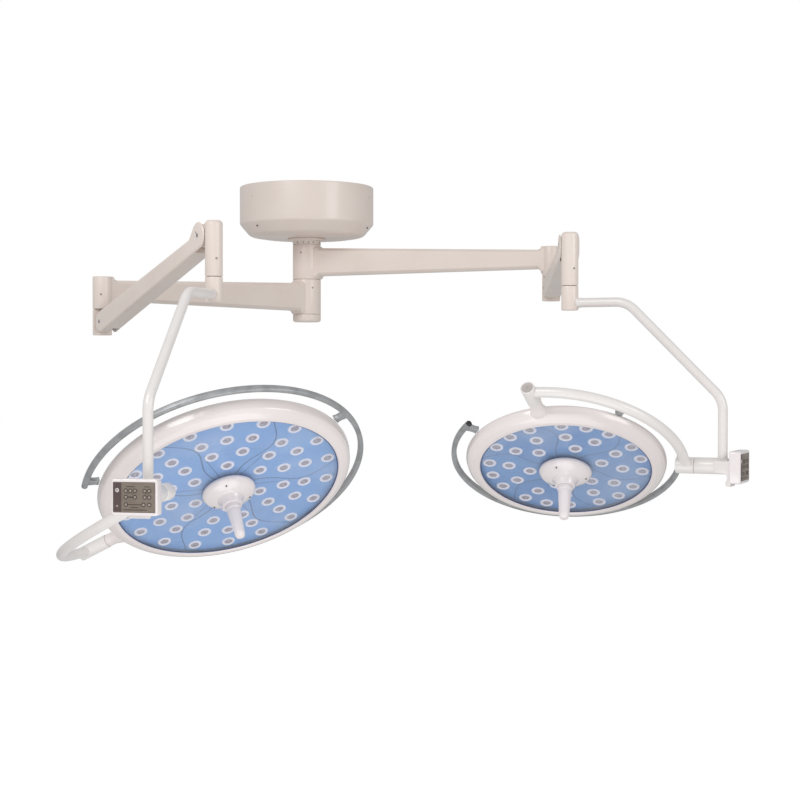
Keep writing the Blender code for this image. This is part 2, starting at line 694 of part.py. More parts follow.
def control_box(head, swivel):
    middle = frame(
        f"{head.side}_control_frame", swivel,
        (head.yoke_reach + BOX_OUT, BOX_SHIFT, -head.yoke_drop),
    )
    half_w, half_h = BOX_WIDTH / 2, BOX_HEIGHT / 2
    panel_w, panel_h = PANEL_WIDTH / 2, PANEL_HEIGHT / 2
    panel_back = BOX_THICK - PANEL_THICK - 0.0006
    outer = block((0, -half_w, -half_h), (BOX_THICK, half_w, half_h), BOX_ROUND / 2)
    seat = block(
        (panel_back - FIT, -panel_w - FIT, -panel_h - FIT), (0.05, panel_w + FIT, panel_h + FIT),
    )
    pocket = block(
        (BOX_WALL, -panel_w + BOX_WALL, -panel_h + BOX_WALL),
        (0.05, panel_w - BOX_WALL, panel_h - BOX_WALL),
    )
    piece(f"{head.side}_control_box", cut(outer, seat, pocket), middle, GLOSS_WHITE)

    at = (panel_back, BUTTON_SIDE, BUTTON_UP)
    panel = block((panel_back, -panel_w, -panel_h), (panel_back + PANEL_THICK, panel_w, panel_h))
    panel = cut(panel, rod(BUTTON_RADIUS + FIT, -0.01, 0.02, "X", at))
    piece(f"{head.side}_control_panel", panel, middle, PANEL_GREY)
    travel = frame(f"{head.side}_button_axis", middle, at)
    low = PANEL_THICK + BUTTON_PROUD - BUTTON_TALL
    button = rod(BUTTON_RADIUS, low, low + BUTTON_TALL, "X", edge=0.0006)
    piece(f"{head.side}_power_button", button, travel, BUTTON_WHITE)


# ---------------------------------------------------------------- gimbal arc
def gimbal_arc(head, swivel):
    tilt = frame(
        f"{head.side}_arc_axis", swivel, (-head.behind, 0, -head.yoke_drop),
        (head.arc_tilt, 0, 0),
    )
    route = rounded_path(
        [(head.arc_axle, 0, 0), (head.arc_axle, -head.arc_pivot, 0), (0, -head.arc_pivot, 0)],
        head.arc_round, 9,
    )
    hub_end = head.arc_pivot + PIVOT_HUB_RADIUS + 0.004
    axle_hub = rod(
        AXLE_RADIUS, head.arc_axle - AXLE_IN, head.arc_axle + AXLE_OUT, "X", steps=HUB_STEPS,
        edge=0.0015,
    )
    pivot_hub = rod(
        PIVOT_HUB_RADIUS, head.boss_end + SEAM, hub_end, "-Y", steps=HUB_STEPS - 2, edge=0.0015,
    )
    arc = joined(axle_hub, swept(route, ARC_TUBE_RADIUS), pivot_hub)
    cap_seat = hub_end - PIVOT_CAP_THICK
    arc = cut(
        arc,
        bore(AXLE_PIN_RADIUS, head.arc_axle - AXLE_IN + 0.008 - FIT,
             head.arc_axle + AXLE_OUT + 0.01, "X"),
        bore(PIVOT_PIN_RADIUS, head.boss_end - 0.01, cap_seat - 0.010, "-Y"),
        rod(PIVOT_CAP_RADIUS + FIT, cap_seat - FIT, hub_end + 0.01, "-Y", steps=16),
    )
    piece(f"{head.side}_gimbal_arc", arc, tilt, TUBE_WHITE)
    cap = rod(PIVOT_CAP_RADIUS, cap_seat, hub_end + 0.0008, "-Y", steps=16, edge=0.0006)
    piece(f"{head.side}_pivot_cap", cap, tilt, PANEL_GREY)
    return tilt


# ---------------------------------------------------------------- lamp head
def rim_profile(head):
    """The rim's closed section: lip, rounded face, outside, top, and the seats of lens and board."""
    face = -head.face_drop
    opening, outside = head.opening, head.rim
    seat = face + LENS_RECESS - FIT
    shelf = seat + LENS_THICK + 2 * FIT
    lens_edge = opening + LENS_LAP + FIT
    board_edge = outside - RIM_WALL + FIT
    return [
        (opening, face + 0.003), (opening + 0.003, face), (opening + 0.012, face + 0.001),
        (opening + 0.026, face + 0.007), (outside - 0.004, face + 0.016), (outside, -0.002),
        (outside - 0.001, 0.005), (outside - 0.005, 0.010), (outside - 0.010, RIM_TOP),
        (board_edge, RIM_TOP), (board_edge, shelf), (lens_edge, shelf), (lens_edge, seat),
        (opening, seat),
    ]


def lamp_frame(head, tilt):
    lamp = frame(f"{head.side}_lamp_axis", tilt, (0, 0, 0), (0, -head.lamp_tilt, 0))
    ring = moved(turned(rim_profile(head), RING_STEPS), RING_TURN)
    boss = rod(BOSS_RADIUS, head.rim - 0.008, head.boss_end, "-Y", steps=HUB_STEPS - 2,
               edge=0.0015)
    ring = joined(ring, cut(boss, block((-0.05, -head.rim, RIM_TOP - 0.0005),
                                        (0.05, 0, RIM_TOP + 0.03))))
    ring = cut(
        ring, rod(PIVOT_PIN_RADIUS + FIT, head.rim + 0.004, head.boss_end + 0.01, "-Y"),
    )
    piece(f"{head.side}_lamp_rim", ring, lamp, GLOSS_WHITE)
    pin_end = head.arc_pivot + PIVOT_HUB_RADIUS + 0.004 - PIVOT_CAP_THICK - 0.010 - FIT
    pin = rod(PIVOT_PIN_RADIUS, head.rim + 0.004 + FIT, pin_end, "-Y", edge=0.001)
    piece(f"{head.side}_pivot_pin", pin, lamp, STEEL)
    return lamp


def lamp_inside(head, lamp):
    lens_low = -head.face_drop + LENS_RECESS
    lens = rod(head.opening + LENS_LAP, lens_low, lens_low + LENS_THICK, steps=RING_STEPS)
    piece(f"{head.side}_lens_plate", moved(lens, RING_TURN), lamp, BLUE_LENS)
    board_low = lens_low + LENS_THICK + 3 * FIT
    board = rod(head.rim - RIM_WALL, board_low, board_low + BOARD_THICK, steps=RING_STEPS)
    core = rod(head.opening * 0.45, board_low, board_low + 0.022, steps=HUB_STEPS)
    piece(f"{head.side}_led_board", joined(moved(board, RING_TURN), core), lamp, BOARD)

    flange = RIM_TOP + FIT
    outside = [(head.rim - 0.012, flange), (head.rim - 0.013, flange + 0.003)]
    reach = head.rim - 0.020
    outside += [
        (reach * math.cos(angle), flange + 0.004 + HOUSING_RISE * math.sin(angle))
        for angle in (math.radians(degree) for degree in (6, 22, 42, 66))
    ]
    outside += [(0, flange + 0.004 + HOUSING_RISE)]
    inner = reach - HOUSING_WALL
    inside = [(0, flange + 0.004 + HOUSING_RISE - HOUSING_WALL)]
    inside += [
        (inner * math.cos(angle), flange + 0.003 + (HOUSING_RISE - HOUSING_WALL) * math.sin(angle))
        for angle in (math.radians(degree) for degree in (64, 38, 12))
    ]
    inside += [(inner, flange)]
    shape = bmesh.new()
    profile = outside + inside
    verts = [shape.verts.new((radius, 0, height)) for radius, height in profile]
    edges = [shape.edges.new(pair) for pair in zip(verts, verts[1:]) if pair[0].co.x or pair[1].co.x]
    edges.append(shape.edges.new((verts[-1], verts[0])))
    bmesh.ops.spin(
        shape, geom=verts + edges, cent=(0, 0, 0), axis=(0, 0, 1), angle=math.tau,
        steps=RING_STEPS, use_merge=True,
    )
    piece(f"{head.side}_lamp_housing", moved(finished(shape), RING_TURN), lamp, GLOSS_WHITE)


def handrail(head, lamp):
    """The grey rail round the rim, open at the pivot, with two end brackets and a middle one."""
    radius = head.rim + RAIL_GAP
    half_w, half_t = RAIL_WIDTH / 2, RAIL_THICK / 2
    cut_edge = 0.003
    section = [
        (-half_t, -half_w), (half_t - cut_edge, -half_w), (half_t, -half_w + cut_edge),
        (half_t, half_w - cut_edge), (half_t - cut_edge, half_w), (-half_t, half_w),
    ]
    shape = bmesh.new()
    verts = [shape.verts.new((radius + x, 0, RAIL_LEVEL + z)) for x, z in section]
    edges = [shape.edges.new(pair) for pair in zip(verts, verts[1:] + verts[:1])]
    first = Matrix.Rotation(math.radians(-90 + RAIL_END_ANGLE), 4, "Z")
    bmesh.ops.transform(shape, matrix=first, verts=shape.verts)
    bmesh.ops.spin(
        shape, geom=verts + edges, cent=(0, 0, 0), axis=(0, 0, 1), steps=RAIL_STEPS,
        angle=math.radians(360 - 2 * RAIL_END_ANGLE),
    )
    bmesh.ops.holes_fill(shape, edges=[edge for edge in shape.edges if edge.is_boundary])
    rail = finished(shape)
    near = rod(head.rim + FIT, -0.1, 0.1, steps=RING_STEPS * 2)
    for angle in (-90 + RAIL_END_ANGLE + 3, 90, -90 - RAIL_END_ANGLE - 3):
        foot = block(
            (head.rim - 0.004, -BRACKET_WIDTH / 2, RAIL_LEVEL - half_w + BRACKET_STEP),
            (radius - half_t + 0.002, BRACKET_WIDTH / 2, RAIL_LEVEL + half_w - BRACKET_STEP),
            0.002,
        )
        foot = moved(foot, Matrix.Rotation(math.radians(angle), 4, "Z"))
        rail = joined(rail, cut(foot, near))
    piece(f"{head.side}_handrail", rail, lamp, RAIL_GREY)


def handle(head, lamp):
    top = -head.face_drop + LENS_RECESS - FIT
    low = top - HANDLE_HUB_DEPTH
    wide = HANDLE_HUB_RADIUS
    hub = turned(
        [(0, top), (wide, top), (wide, top - 0.008), (wide - 0.004, top - 0.014),
         (wide - 0.016, top - 0.024), (wide - 0.030, top - 0.032),
         (HANDLE_RADIUS + 0.012, top - 0.040), (HANDLE_RADIUS + 0.006, low), (0, low)], 24,
    )
    hub = cut(hub, bore(STEM_RADIUS, low - 0.01, low + STEM_LENGTH + FIT))
    piece(f"{head.side}_handle_hub", hub, lamp, GLOSS_WHITE)
    turn = frame(f"{head.side}_handle_axis", lamp, (0, 0, low - FIT))
    grip = turned(
        [(0, STEM_LENGTH), (STEM_RADIUS, STEM_LENGTH), (STEM_RADIUS, 0), (HANDLE_RADIUS, 0),
         (HANDLE_RADIUS, -0.012), (HANDLE_RADIUS - 0.002, -0.020),
         (HANDLE_TIP_RADIUS, -HANDLE_LENGTH + 0.012),
         (HANDLE_TIP_RADIUS - 0.004, -HANDLE_LENGTH + 0.003),
         (HANDLE_TIP_RADIUS - 0.009, -HANDLE_LENGTH), (0, -HANDLE_LENGTH)], 16,
    )
    piece(f"{head.side}_sterile_handle", grip, turn, GLOSS_WHITE)


def build_head(head, base):
    swing = extension_arm(head, base)
    elbow = root_bracket(head, swing)
    lift = spring_arm(head, elbow)
    level = end_hub(head, lift)
    swivel = yoke(head, level)
    control_box(head, swivel)
    tilt = gimbal_arc(head, swivel)
    lamp = lamp_frame(head, tilt)
    lamp_inside(head, lamp)
    handrail(head, lamp)
    handle(head, lamp)


def main():
    for existing in list(bpy.data.objects):
        bpy.data.objects.remove(existing)
    base = frame("column_axis")
    ceiling_parts(base)
    for head in (RIGHT, LEFT):
        build_head(head, base)


main()
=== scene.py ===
"""The looks of a ceiling surgical light: two LED lamp heads on jointed arms under a canopy.

Every sub-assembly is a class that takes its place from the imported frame, works out its surfaces
with numpy, dresses them in finishes, and hangs them on the body that they move with.
"""

from __future__ import annotations

import json
import logging
import math
from dataclasses import dataclass
from enum import Enum, StrEnum
from typing import Any, Sequence

import bmesh
import bpy
import numpy as np
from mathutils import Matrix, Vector

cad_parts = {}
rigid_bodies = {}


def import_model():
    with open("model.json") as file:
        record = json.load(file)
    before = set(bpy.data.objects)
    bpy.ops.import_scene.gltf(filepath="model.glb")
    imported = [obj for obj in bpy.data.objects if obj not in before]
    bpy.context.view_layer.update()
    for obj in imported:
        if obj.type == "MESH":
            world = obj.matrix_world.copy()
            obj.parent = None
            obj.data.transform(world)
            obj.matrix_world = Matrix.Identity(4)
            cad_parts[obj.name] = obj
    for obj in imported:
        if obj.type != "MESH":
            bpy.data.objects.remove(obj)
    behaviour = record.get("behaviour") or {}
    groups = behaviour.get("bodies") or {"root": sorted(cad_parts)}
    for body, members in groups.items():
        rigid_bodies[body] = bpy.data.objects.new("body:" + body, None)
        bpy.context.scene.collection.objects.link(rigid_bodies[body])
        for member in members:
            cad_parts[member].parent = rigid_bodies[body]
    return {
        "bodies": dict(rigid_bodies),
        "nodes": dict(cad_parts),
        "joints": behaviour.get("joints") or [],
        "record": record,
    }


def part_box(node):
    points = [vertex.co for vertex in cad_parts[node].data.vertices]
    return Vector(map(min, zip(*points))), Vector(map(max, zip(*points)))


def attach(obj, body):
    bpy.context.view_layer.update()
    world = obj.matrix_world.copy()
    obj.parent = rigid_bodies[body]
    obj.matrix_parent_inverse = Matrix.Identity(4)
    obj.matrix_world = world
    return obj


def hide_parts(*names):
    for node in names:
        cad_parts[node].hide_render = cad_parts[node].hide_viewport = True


Array = np.ndarray
log = logging.getLogger("surgical_light")


# ---------------------------------------------------------------- places
@dataclass(frozen=True)
class Place:
    """A right-handed frame in the object's own space."""

    origin: Array
    x: Array
    y: Array
    z: Array

    @staticmethod
    def along(origin: Sequence[float], x: Sequence[float], z: Sequence[float]) -> Place:
        """A frame from its origin, its X direction and its Z direction, which is kept exact."""
        up = np.asarray(z, float) / np.linalg.norm(z)
        side = np.cross(up, np.asarray(x, float))
        side /= np.linalg.norm(side)
        return Place(np.asarray(origin, float), np.cross(side, up), side, up)

    def put(self, points: Array) -> Array:
        """Points of this frame as points of the object."""
        return self.origin + points @ np.stack([self.x, self.y, self.z])

    def moved(self, x: float = 0.0, y: float = 0.0, z: float = 0.0) -> Place:
        """The same frame with its origin shifted along its own axes."""
        return Place(self.put(np.array([x, y, z])), self.x, self.y, self.z)

    def turned(self, degrees: float) -> Place:
        """The frame turned about its own Z."""
        c, s = math.cos(math.radians(degrees)), math.sin(math.radians(degrees))
        return Place(self.origin, c * self.x + s * self.y, c * self.y - s * self.x, self.z)

    def facing(self, axis: str) -> Place:
        """A frame at the same point whose Z runs along one of this one's axes: X, -X, Y or -Y."""
        if axis == "X":
            return Place(self.origin, self.y, self.z, self.x)
        if axis == "-X":
            return Place(self.origin, -self.y, self.z, -self.x)
        if axis == "Y":
            return Place(self.origin, self.z, self.x, self.y)
        if axis == "-Y":
            return Place(self.origin, self.x, self.z, -self.y)
        return self


# ---------------------------------------------------------------- shapes
class Ends(Enum):
    """How the first and last rows of a grid are closed."""

    OPEN = "open"
    FLAT = "flat"
    LOOP = "loop"


def unit(vectors: Array) -> Array:
    """Vectors of length one; a vector with no length stays as it is."""
    length = np.linalg.norm(vectors, axis=-1, keepdims=True)
    return vectors / np.where(length < 1e-12, 1.0, length)


def softened(corners: Sequence[Sequence[float]], radius: float | Sequence[float], steps: int = 5,
             closed: bool = False) -> Array:
    """A polyline with each corner replaced by an arc.

    The arc touches both sides at radius / tan(half the corner's angle) from the corner, and its
    points are the two touching directions blended on a circle about the arc's centre.

    Args:
        corners: points in two or three dimensions.
        radius: one radius, or one for each corner that is rounded.
        steps: points on each arc.
        closed: whether the last point joins the first.

    Returns:
        The points of the softened line.
    """
    line = np.asarray(corners, float)
    here = line if closed else line[1:-1]
    before = np.roll(line, 1, 0) if closed else line[:-2]
    after = np.roll(line, -1, 0) if closed else line[2:]
    back, on = before - here, after - here
    share_back, share_on = np.full(len(here), 0.499), np.full(len(here), 0.499)
    if not closed:
        share_back[0] = share_on[-1] = 0.999
    room = np.minimum(share_back * np.linalg.norm(back, axis=1),
                      share_on * np.linalg.norm(on, axis=1))
    back, on = unit(back), unit(on)
    half = np.arccos(np.clip((back * on).sum(1), -0.999999, 0.999999)) / 2
    reach = np.minimum(np.broadcast_to(radius, half.shape) / np.tan(half), room)
    centre = here + unit(back + on) * (reach / np.cos(half))[:, None]
    first, last = here + back * reach[:, None] - centre, here + on * reach[:, None] - centre
    sweep = math.pi - 2 * half
    blend = np.linspace(0, 1, steps)[None, :, None]
    turn = np.maximum(sweep, 1e-6)[:, None, None]
    arcs = (np.sin((1 - blend) * turn) * first[:, None] + np.sin(blend * turn) * last[:, None])
    arcs = (centre[:, None] + arcs / np.sin(turn)).reshape(-1, line.shape[1])
    return arcs if closed else np.concatenate([line[:1], arcs, line[-1:]])


def revolved(profile: Array, steps: int = 72) -> Array:
    """A profile of (radius, height) turned about Z: row i, column j is radius i at angle j."""
    angle = np.linspace(0, math.tau, steps, endpoint=False)
    radius, height = profile[:, :1], np.repeat(profile[:, 1:2], steps, 1)
    return np.stack([radius * np.cos(angle), radius * np.sin(angle), height], -1)


def carried(path: Array, section: Array, normal: Sequence[float]) -> Array:
    """A section carried along a flat path: path + side * u + normal * v, side in the path's plane."""
    tangent = unit(np.gradient(path, axis=0))
    up = np.broadcast_to(unit(np.asarray(normal, float)), path.shape)
    side = unit(np.cross(tangent, up))
    return path[:, None] + side[:, None] * section[None, :, :1] + up[:, None] * section[None, :, 1:]


def circle(radius: float, steps: int = 24) -> Array:
    """Points of (u, v) round a circle."""
    angle = np.linspace(0, math.tau, steps, endpoint=False)
    return radius * np.stack([np.cos(angle), np.sin(angle)], -1)


def oblong(wide: float, high: float, radius: float, steps: int = 5) -> Array:
    """A rectangle of (u, v) about the origin, with rounded corners."""
    a, b = wide / 2, high / 2
    return softened([(-a, -b), (a, -b), (a, b), (-a, b)], radius, steps, closed=True)


def slab(outline: Array, levels: Sequence[Sequence[float]]) -> Array:
    """An outline of (x, y) stacked up Z: at each level of (inset, height) it is drawn in by inset."""
    stack = np.asarray(levels, float)
    tangent = unit(np.roll(outline, -1, 0) - np.roll(outline, 1, 0))
    inward = np.stack([-tangent[:, 1], tangent[:, 0]], -1)
    area = (outline[:, 0] * np.roll(outline[:, 1], -1) - outline[:, 1] * np.roll(outline[:, 0], -1))
    inward = inward * math.copysign(1, float(area.sum()))
    flat = outline[None] + inward[None] * stack[:, None, :1]
    return np.concatenate([flat, np.broadcast_to(stack[:, None, 1:], flat.shape[:2] + (1,))], -1)


def cushion(low: float, high: float, edge: float, steps: int = 4) -> Array:
    """Levels of (inset, height) for a slab with rounded upper and lower edges."""
    turn = np.linspace(0, math.pi / 2, steps)
    inset, rise = edge * (1 - np.sin(turn)), edge * (1 - np.cos(turn))
    lower = np.stack([inset, low + rise], -1)
    return np.concatenate([lower, np.stack([inset, high - rise], -1)[::-1]])


def barrel(radius: float, low: float, high: float, edge: float) -> Array:
    """A closed profile of (radius, height) for a round bar with rounded end edges."""
    line = [(0, low), (radius, low), (radius, high), (0, high)]
    return softened(line, edge, 4)


class Side(StrEnum):
    """Which arm a piece belongs to; its bodies, joints and nodes start with this name."""

    RIGHT = "right"
    LEFT = "left"


class Form:
    """The closed surfaces of one piece, gathered before they become a mesh."""

    def __init__(self, place: Place) -> None:
        """Starts an empty form in a sub-assembly's frame."""
        self.place = place
        self.points: list[Array] = []
        self.quads: list[Array] = []
        self.lids: list[list[int]] = []
        self.lid_marks: list[int] = []
        self.marks: list[Array] = []
        self.flat: list[Array] = []
        self.count = 0

    def add(self, grid: Array, ends: Ends = Ends.FLAT, mark: int = 0,
            place: Place | None = None) -> Form:
        """Adds a grid of points whose columns close on themselves.

        Args:
            grid: rows by columns by three coordinates in the frame.
            ends: how the first and last rows are closed.
            mark: which of the piece's materials it takes.
            place: another frame than the form's own.

        Returns:
            The form itself.
        """
        rows, columns = grid.shape[:2]
        index = self.count + np.arange(rows * columns).reshape(rows, columns)
        upper = index if ends is Ends.LOOP else index[:-1]
        lower = np.roll(index, -1, 0) if ends is Ends.LOOP else index[1:]
        quads = np.stack([upper, np.roll(upper, -1, 1), np.roll(lower, -1, 1), lower], -1)
        self.quads.append(quads.reshape(-1, 4))
        self.marks.append(np.full(quads.shape[0] * quads.shape[1], mark))
        if ends is Ends.FLAT:
            self.lids += [index[0][::-1].tolist(), index[-1].tolist()]
            self.lid_marks += [mark, mark]
        self.points.append((place or self.place).put(grid.reshape(-1, 3)))
        self.flat.append(grid.reshape(-1, 3)[:, :2])
        self.count += rows * columns
        return self

    def made(self, name: str, materials: Sequence[bpy.types.Material], sharp: float = 38.0,
             face_map: float = 0.0) -> bpy.types.Object:
        """Turns the gathered surfaces into an object with its place in its mesh.

        Args:
            name: the piece's name.
            materials: one material for each mark.
            sharp: the angle in degrees past which an edge isn't shaded smooth.
            face_map: where not 0, a UV map named face holds the flat place divided by this.

        Returns:
            The new object.
        """
        mesh = bpy.data.meshes.new(name)
        faces = np.concatenate(self.quads).tolist() + self.lids
        mesh.from_pydata(np.concatenate(self.points), [], faces)
        mesh.polygons.foreach_set(
            "material_index", np.concatenate([*self.marks, self.lid_marks]).astype(np.int32)
        )
        if face_map:
            corner = np.empty(len(mesh.loops), np.int32)
            mesh.loops.foreach_get("vertex_index", corner)
            layer = mesh.uv_layers.new(name="face")
            flat = np.concatenate(self.flat)[corner] / face_map
            layer.data.foreach_set("uv", flat.astype(np.float32).ravel())
        shape = bmesh.new()
        shape.from_mesh(mesh)
        bmesh.ops.remove_doubles(shape, verts=shape.verts, dist=1e-6)
        bmesh.ops.dissolve_degenerate(shape, edges=shape.edges, dist=1e-7)
        bmesh.ops.recalc_face_normals(shape, faces=shape.faces)
        shape.to_mesh(mesh)
        shape.free()
        mesh.shade_smooth()
        mesh.set_sharp_from_angle(angle=math.radians(sharp))
        made = bpy.data.objects.new(name, mesh)
        bpy.context.scene.collection.objects.link(made)
        for material in materials:
            mesh.materials.append(material)
        return made


def carved(body: bpy.types.Object, cutters: Sequence[bpy.types.Object]) -> bpy.types.Object:
    """Cuts helpers out of a piece with an exact Boolean, and removes the helpers.

    Args:
        body: the piece that is cut.
        cutters: closed solids that are taken away from it.

    Returns:
        The same piece with its new mesh.
    """
    for cutter in cutters:
        modifier = body.modifiers.new("cut", "BOOLEAN")
        modifier.operation, modifier.solver, modifier.object = "DIFFERENCE", "EXACT", cutter
    graph = bpy.context.evaluated_depsgraph_get()
    mesh = bpy.data.meshes.new_from_object(body.evaluated_get(graph))
    body.modifiers.clear()
    body.data = mesh
    mesh.shade_smooth()
    mesh.set_sharp_from_angle(angle=math.radians(38))
    for cutter in cutters:
        bpy.data.objects.remove(cutter)
    return body


# ---------------------------------------------------------------- shader maths
class Socket:
    """A value in a node tree that can be used in Python expressions."""

    def __init__(self, shade: Shade, out: Any) -> None:
        """Wraps an output socket of a tree."""
        self.shade, self.out = shade, out

    def _math(self, operation: str, *values: Any) -> Socket:
        """One Math node on these values."""
        inputs = dict(enumerate(values))
        return self.shade.node("ShaderNodeMath", {"operation": operation}, inputs)

    def __add__(self, other: Any) -> Socket:
        """Sum."""
        return self._math("ADD", self, other)

    def __sub__(self, other: Any) -> Socket:
        """Difference."""
        return self._math("SUBTRACT", self, other)

    def __rsub__(self, other: Any) -> Socket:
        """Difference from a number."""
        return self._math("SUBTRACT", other, self)

    def __mul__(self, other: Any) -> Socket:
        """Product."""
        return self._math("MULTIPLY", self, other)

    def __truediv__(self, other: Any) -> Socket:
        """Quotient."""
        return self._math("DIVIDE", self, other)

    def __rtruediv__(self, other: Any) -> Socket:
        """Quotient of a number by this value."""
        return self._math("DIVIDE", other, self)

    __radd__, __rmul__ = __add__, __mul__

    def apply(self, operation: str, *values: Any) -> Socket:
        """Any other Math operation with this value first."""
        return self._math(operation, self, *values)

    def step(self, low: float, high: float) -> Socket:
        """A smooth rise from 0 at low to 1 at high."""
        settings = {"interpolation_type": "SMOOTHSTEP"}
        values = {"Value": self, "From Min": low, "From Max": high}
        return self.shade.node("ShaderNodeMapRange", settings, values)


class Shade:
    """A material's node tree, with one method that adds any node."""

    def __init__(self, name: str) -> None:
        """Makes a new material that holds only a Principled BSDF and its output."""
        self.material = bpy.data.materials.new(name)
        self.material.use_nodes = True
        self.tree = self.material.node_tree
        self.shader = self.tree.nodes["Principled BSDF"]

    def node(self, kind: str, settings: dict[str, Any], inputs: dict[Any, Any],
             output: int | str = 0) -> Socket:
        """Adds a node.

        Args:
            kind: the node's type.
            settings: its properties, set before its inputs.
            inputs: values or sockets for its inputs, by name or number.
            output: the output that is returned.

        Returns:
            The chosen output, wrapped.
        """
        made = self.tree.nodes.new(kind)
        for key, value in settings.items():
            setattr(made, key, value)
        for key, value in inputs.items():
            self.feed(made.inputs[key], value)
        return Socket(self, made.outputs[output])

    def feed(self, target: Any, value: Any) -> None:
        """Links a wrapped socket to an input, or sets the input's own value."""
        if isinstance(value, Socket):
            self.tree.links.new(value.out, target)
        elif hasattr(target.default_value, "__len__") and len(target.default_value) == 4:
            target.default_value = (*value[:3], 1.0)
        else:
            target.default_value = value

    def place(self) -> Socket:
        """The Object coordinates."""
        return self.node("ShaderNodeTexCoord", {}, {}, "Object")

    def noise(self, scale: float, detail: float = 3.0, stretch: Sequence[float] = (1, 1, 1),
              rough: float = 0.5) -> Socket:
        """Noise on Object coordinates, scale in cycles per metre, stretched along the axes."""
        vector = self.node(
            "ShaderNodeMapping", {}, {"Vector": self.place(), "Scale": tuple(stretch)}
        )
        values = {"Vector": vector, "Scale": scale, "Detail": detail, "Roughness": rough}
        return self.node("ShaderNodeTexNoise", {}, values)

    def mix(self, factor: Any, first: Any, second: Any) -> Socket:
        """Blends two colours."""
        return self.node(
            "ShaderNodeMix", {"data_type": "RGBA"}, {0: factor, 6: first, 7: second}, 2
        )

    def bump(self, height: Socket, strength: float, distance: float) -> None:
        """Gives the surface relief from a height."""
        values = {"Height": height, "Strength": strength, "Distance": distance}
        self.set(Normal=self.node("ShaderNodeBump", {}, values))

    def set(self, **values: Any) -> None:
        """Feeds the shader's inputs; an underscore in a name stands for a space."""
        for key, value in values.items():
            self.feed(self.shader.inputs[key.replace("_", " ")], value)


# ---------------------------------------------------------------- finishes
@dataclass(frozen=True)
class Paint:
    """Sprayed paint: faint mottling, roughness that varies, and a fine orange-peel skin."""

    name: str
    colour: tuple[float, float, float]
    shadow: tuple[float, float, float]
    roughness: float = 0.34
    peel: float = 0.03
    coat: float = 0.25

    def material(self) -> bpy.types.Material:
        """Builds the paint's material."""
        shade = Shade(self.name)
        cloud = shade.noise(7.0, 4.0).step(0.35, 0.68)
        speck = shade.noise(900.0, 2.0)
        shade.set(
            Base_Color=shade.mix(cloud * 0.8, self.colour, self.shadow),
            Roughness=cloud * 0.07 + speck * 0.06 + (self.roughness - 0.06),
            Coat_Weight=self.coat,
            Coat_Roughness=0.12,
            Specular_IOR_Level=0.5,
        )
        shade.bump(shade.noise(260.0, 2.0, rough=0.4), self.peel, 0.0006)
        return shade.material


@dataclass(frozen=True)
class Moulded:
    """Moulded plastic: an even colour with slow variation and a fine spark-eroded grain."""

    name: str
    colour: tuple[float, float, float]
    roughness: float = 0.45
    grain: float = 1600.0
    relief: float = 0.08
    lift: float = 0.12

    def material(self) -> bpy.types.Material:
        """Builds the plastic's material."""
        shade = Shade(self.name)
        paler = tuple(min(1.0, c * (1 + self.lift)) for c in self.colour)
        slow, fine = shade.noise(22.0, 3.0), shade.noise(self.grain, 2.0)
        shade.set(
            Base_Color=shade.mix(slow.step(0.3, 0.7), self.colour, paler),
            Roughness=fine * 0.10 + slow * 0.08 + (self.roughness - 0.09),
        )
        shade.bump(fine, self.relief, 0.0003)
        return shade.material


@dataclass(frozen=True)
class Metal:
    """Bare metal: drawn lines along one axis, and duller patches."""

    name: str
    colour: tuple[float, float, float]
    roughness: float = 0.3
    lines: tuple[float, float, float] = (1, 1, 0.03)
    metallic: float = 1.0

    def material(self) -> bpy.types.Material:
        """Builds the metal's material."""
        shade = Shade(self.name)
        drawn, patch = shade.noise(1400.0, 2.0, self.lines), shade.noise(30.0, 4.0)
        darker = tuple(c * 0.78 for c in self.colour)
        shade.set(
            Base_Color=shade.mix(patch.step(0.35, 0.7), self.colour, darker),
            Roughness=drawn * 0.16 + patch * 0.12 + (self.roughness - 0.14),
            Metallic=self.metallic,
        )
        shade.bump(drawn, 0.12, 0.0002)
        return shade.material


@dataclass(frozen=True)
class ClearCover:
    """The thin clear cover of a lamp: mostly see-through, with faint smears that catch light."""

    name: str = "clear_cover"
    colour: tuple[float, float, float] = (0.62, 0.74, 0.95)

    def material(self) -> bpy.types.Material:
        """Builds the cover's material."""
        shade = Shade(self.name)
        smear, fine = shade.noise(6.0, 3.0).step(0.35, 0.75), shade.noise(900.0, 2.0)
        shade.set(
            Base_Color=shade.mix(smear, self.colour, (0.80, 0.88, 1.0)),
            Roughness=smear * 0.06 + fine * 0.02 + 0.05,
            Alpha=smear * 0.08 + 0.10,
            Coat_Weight=1.0,
            Coat_Roughness=0.03,
        )
        shade.bump(fine, 0.02, 0.0002)
        return shade.material


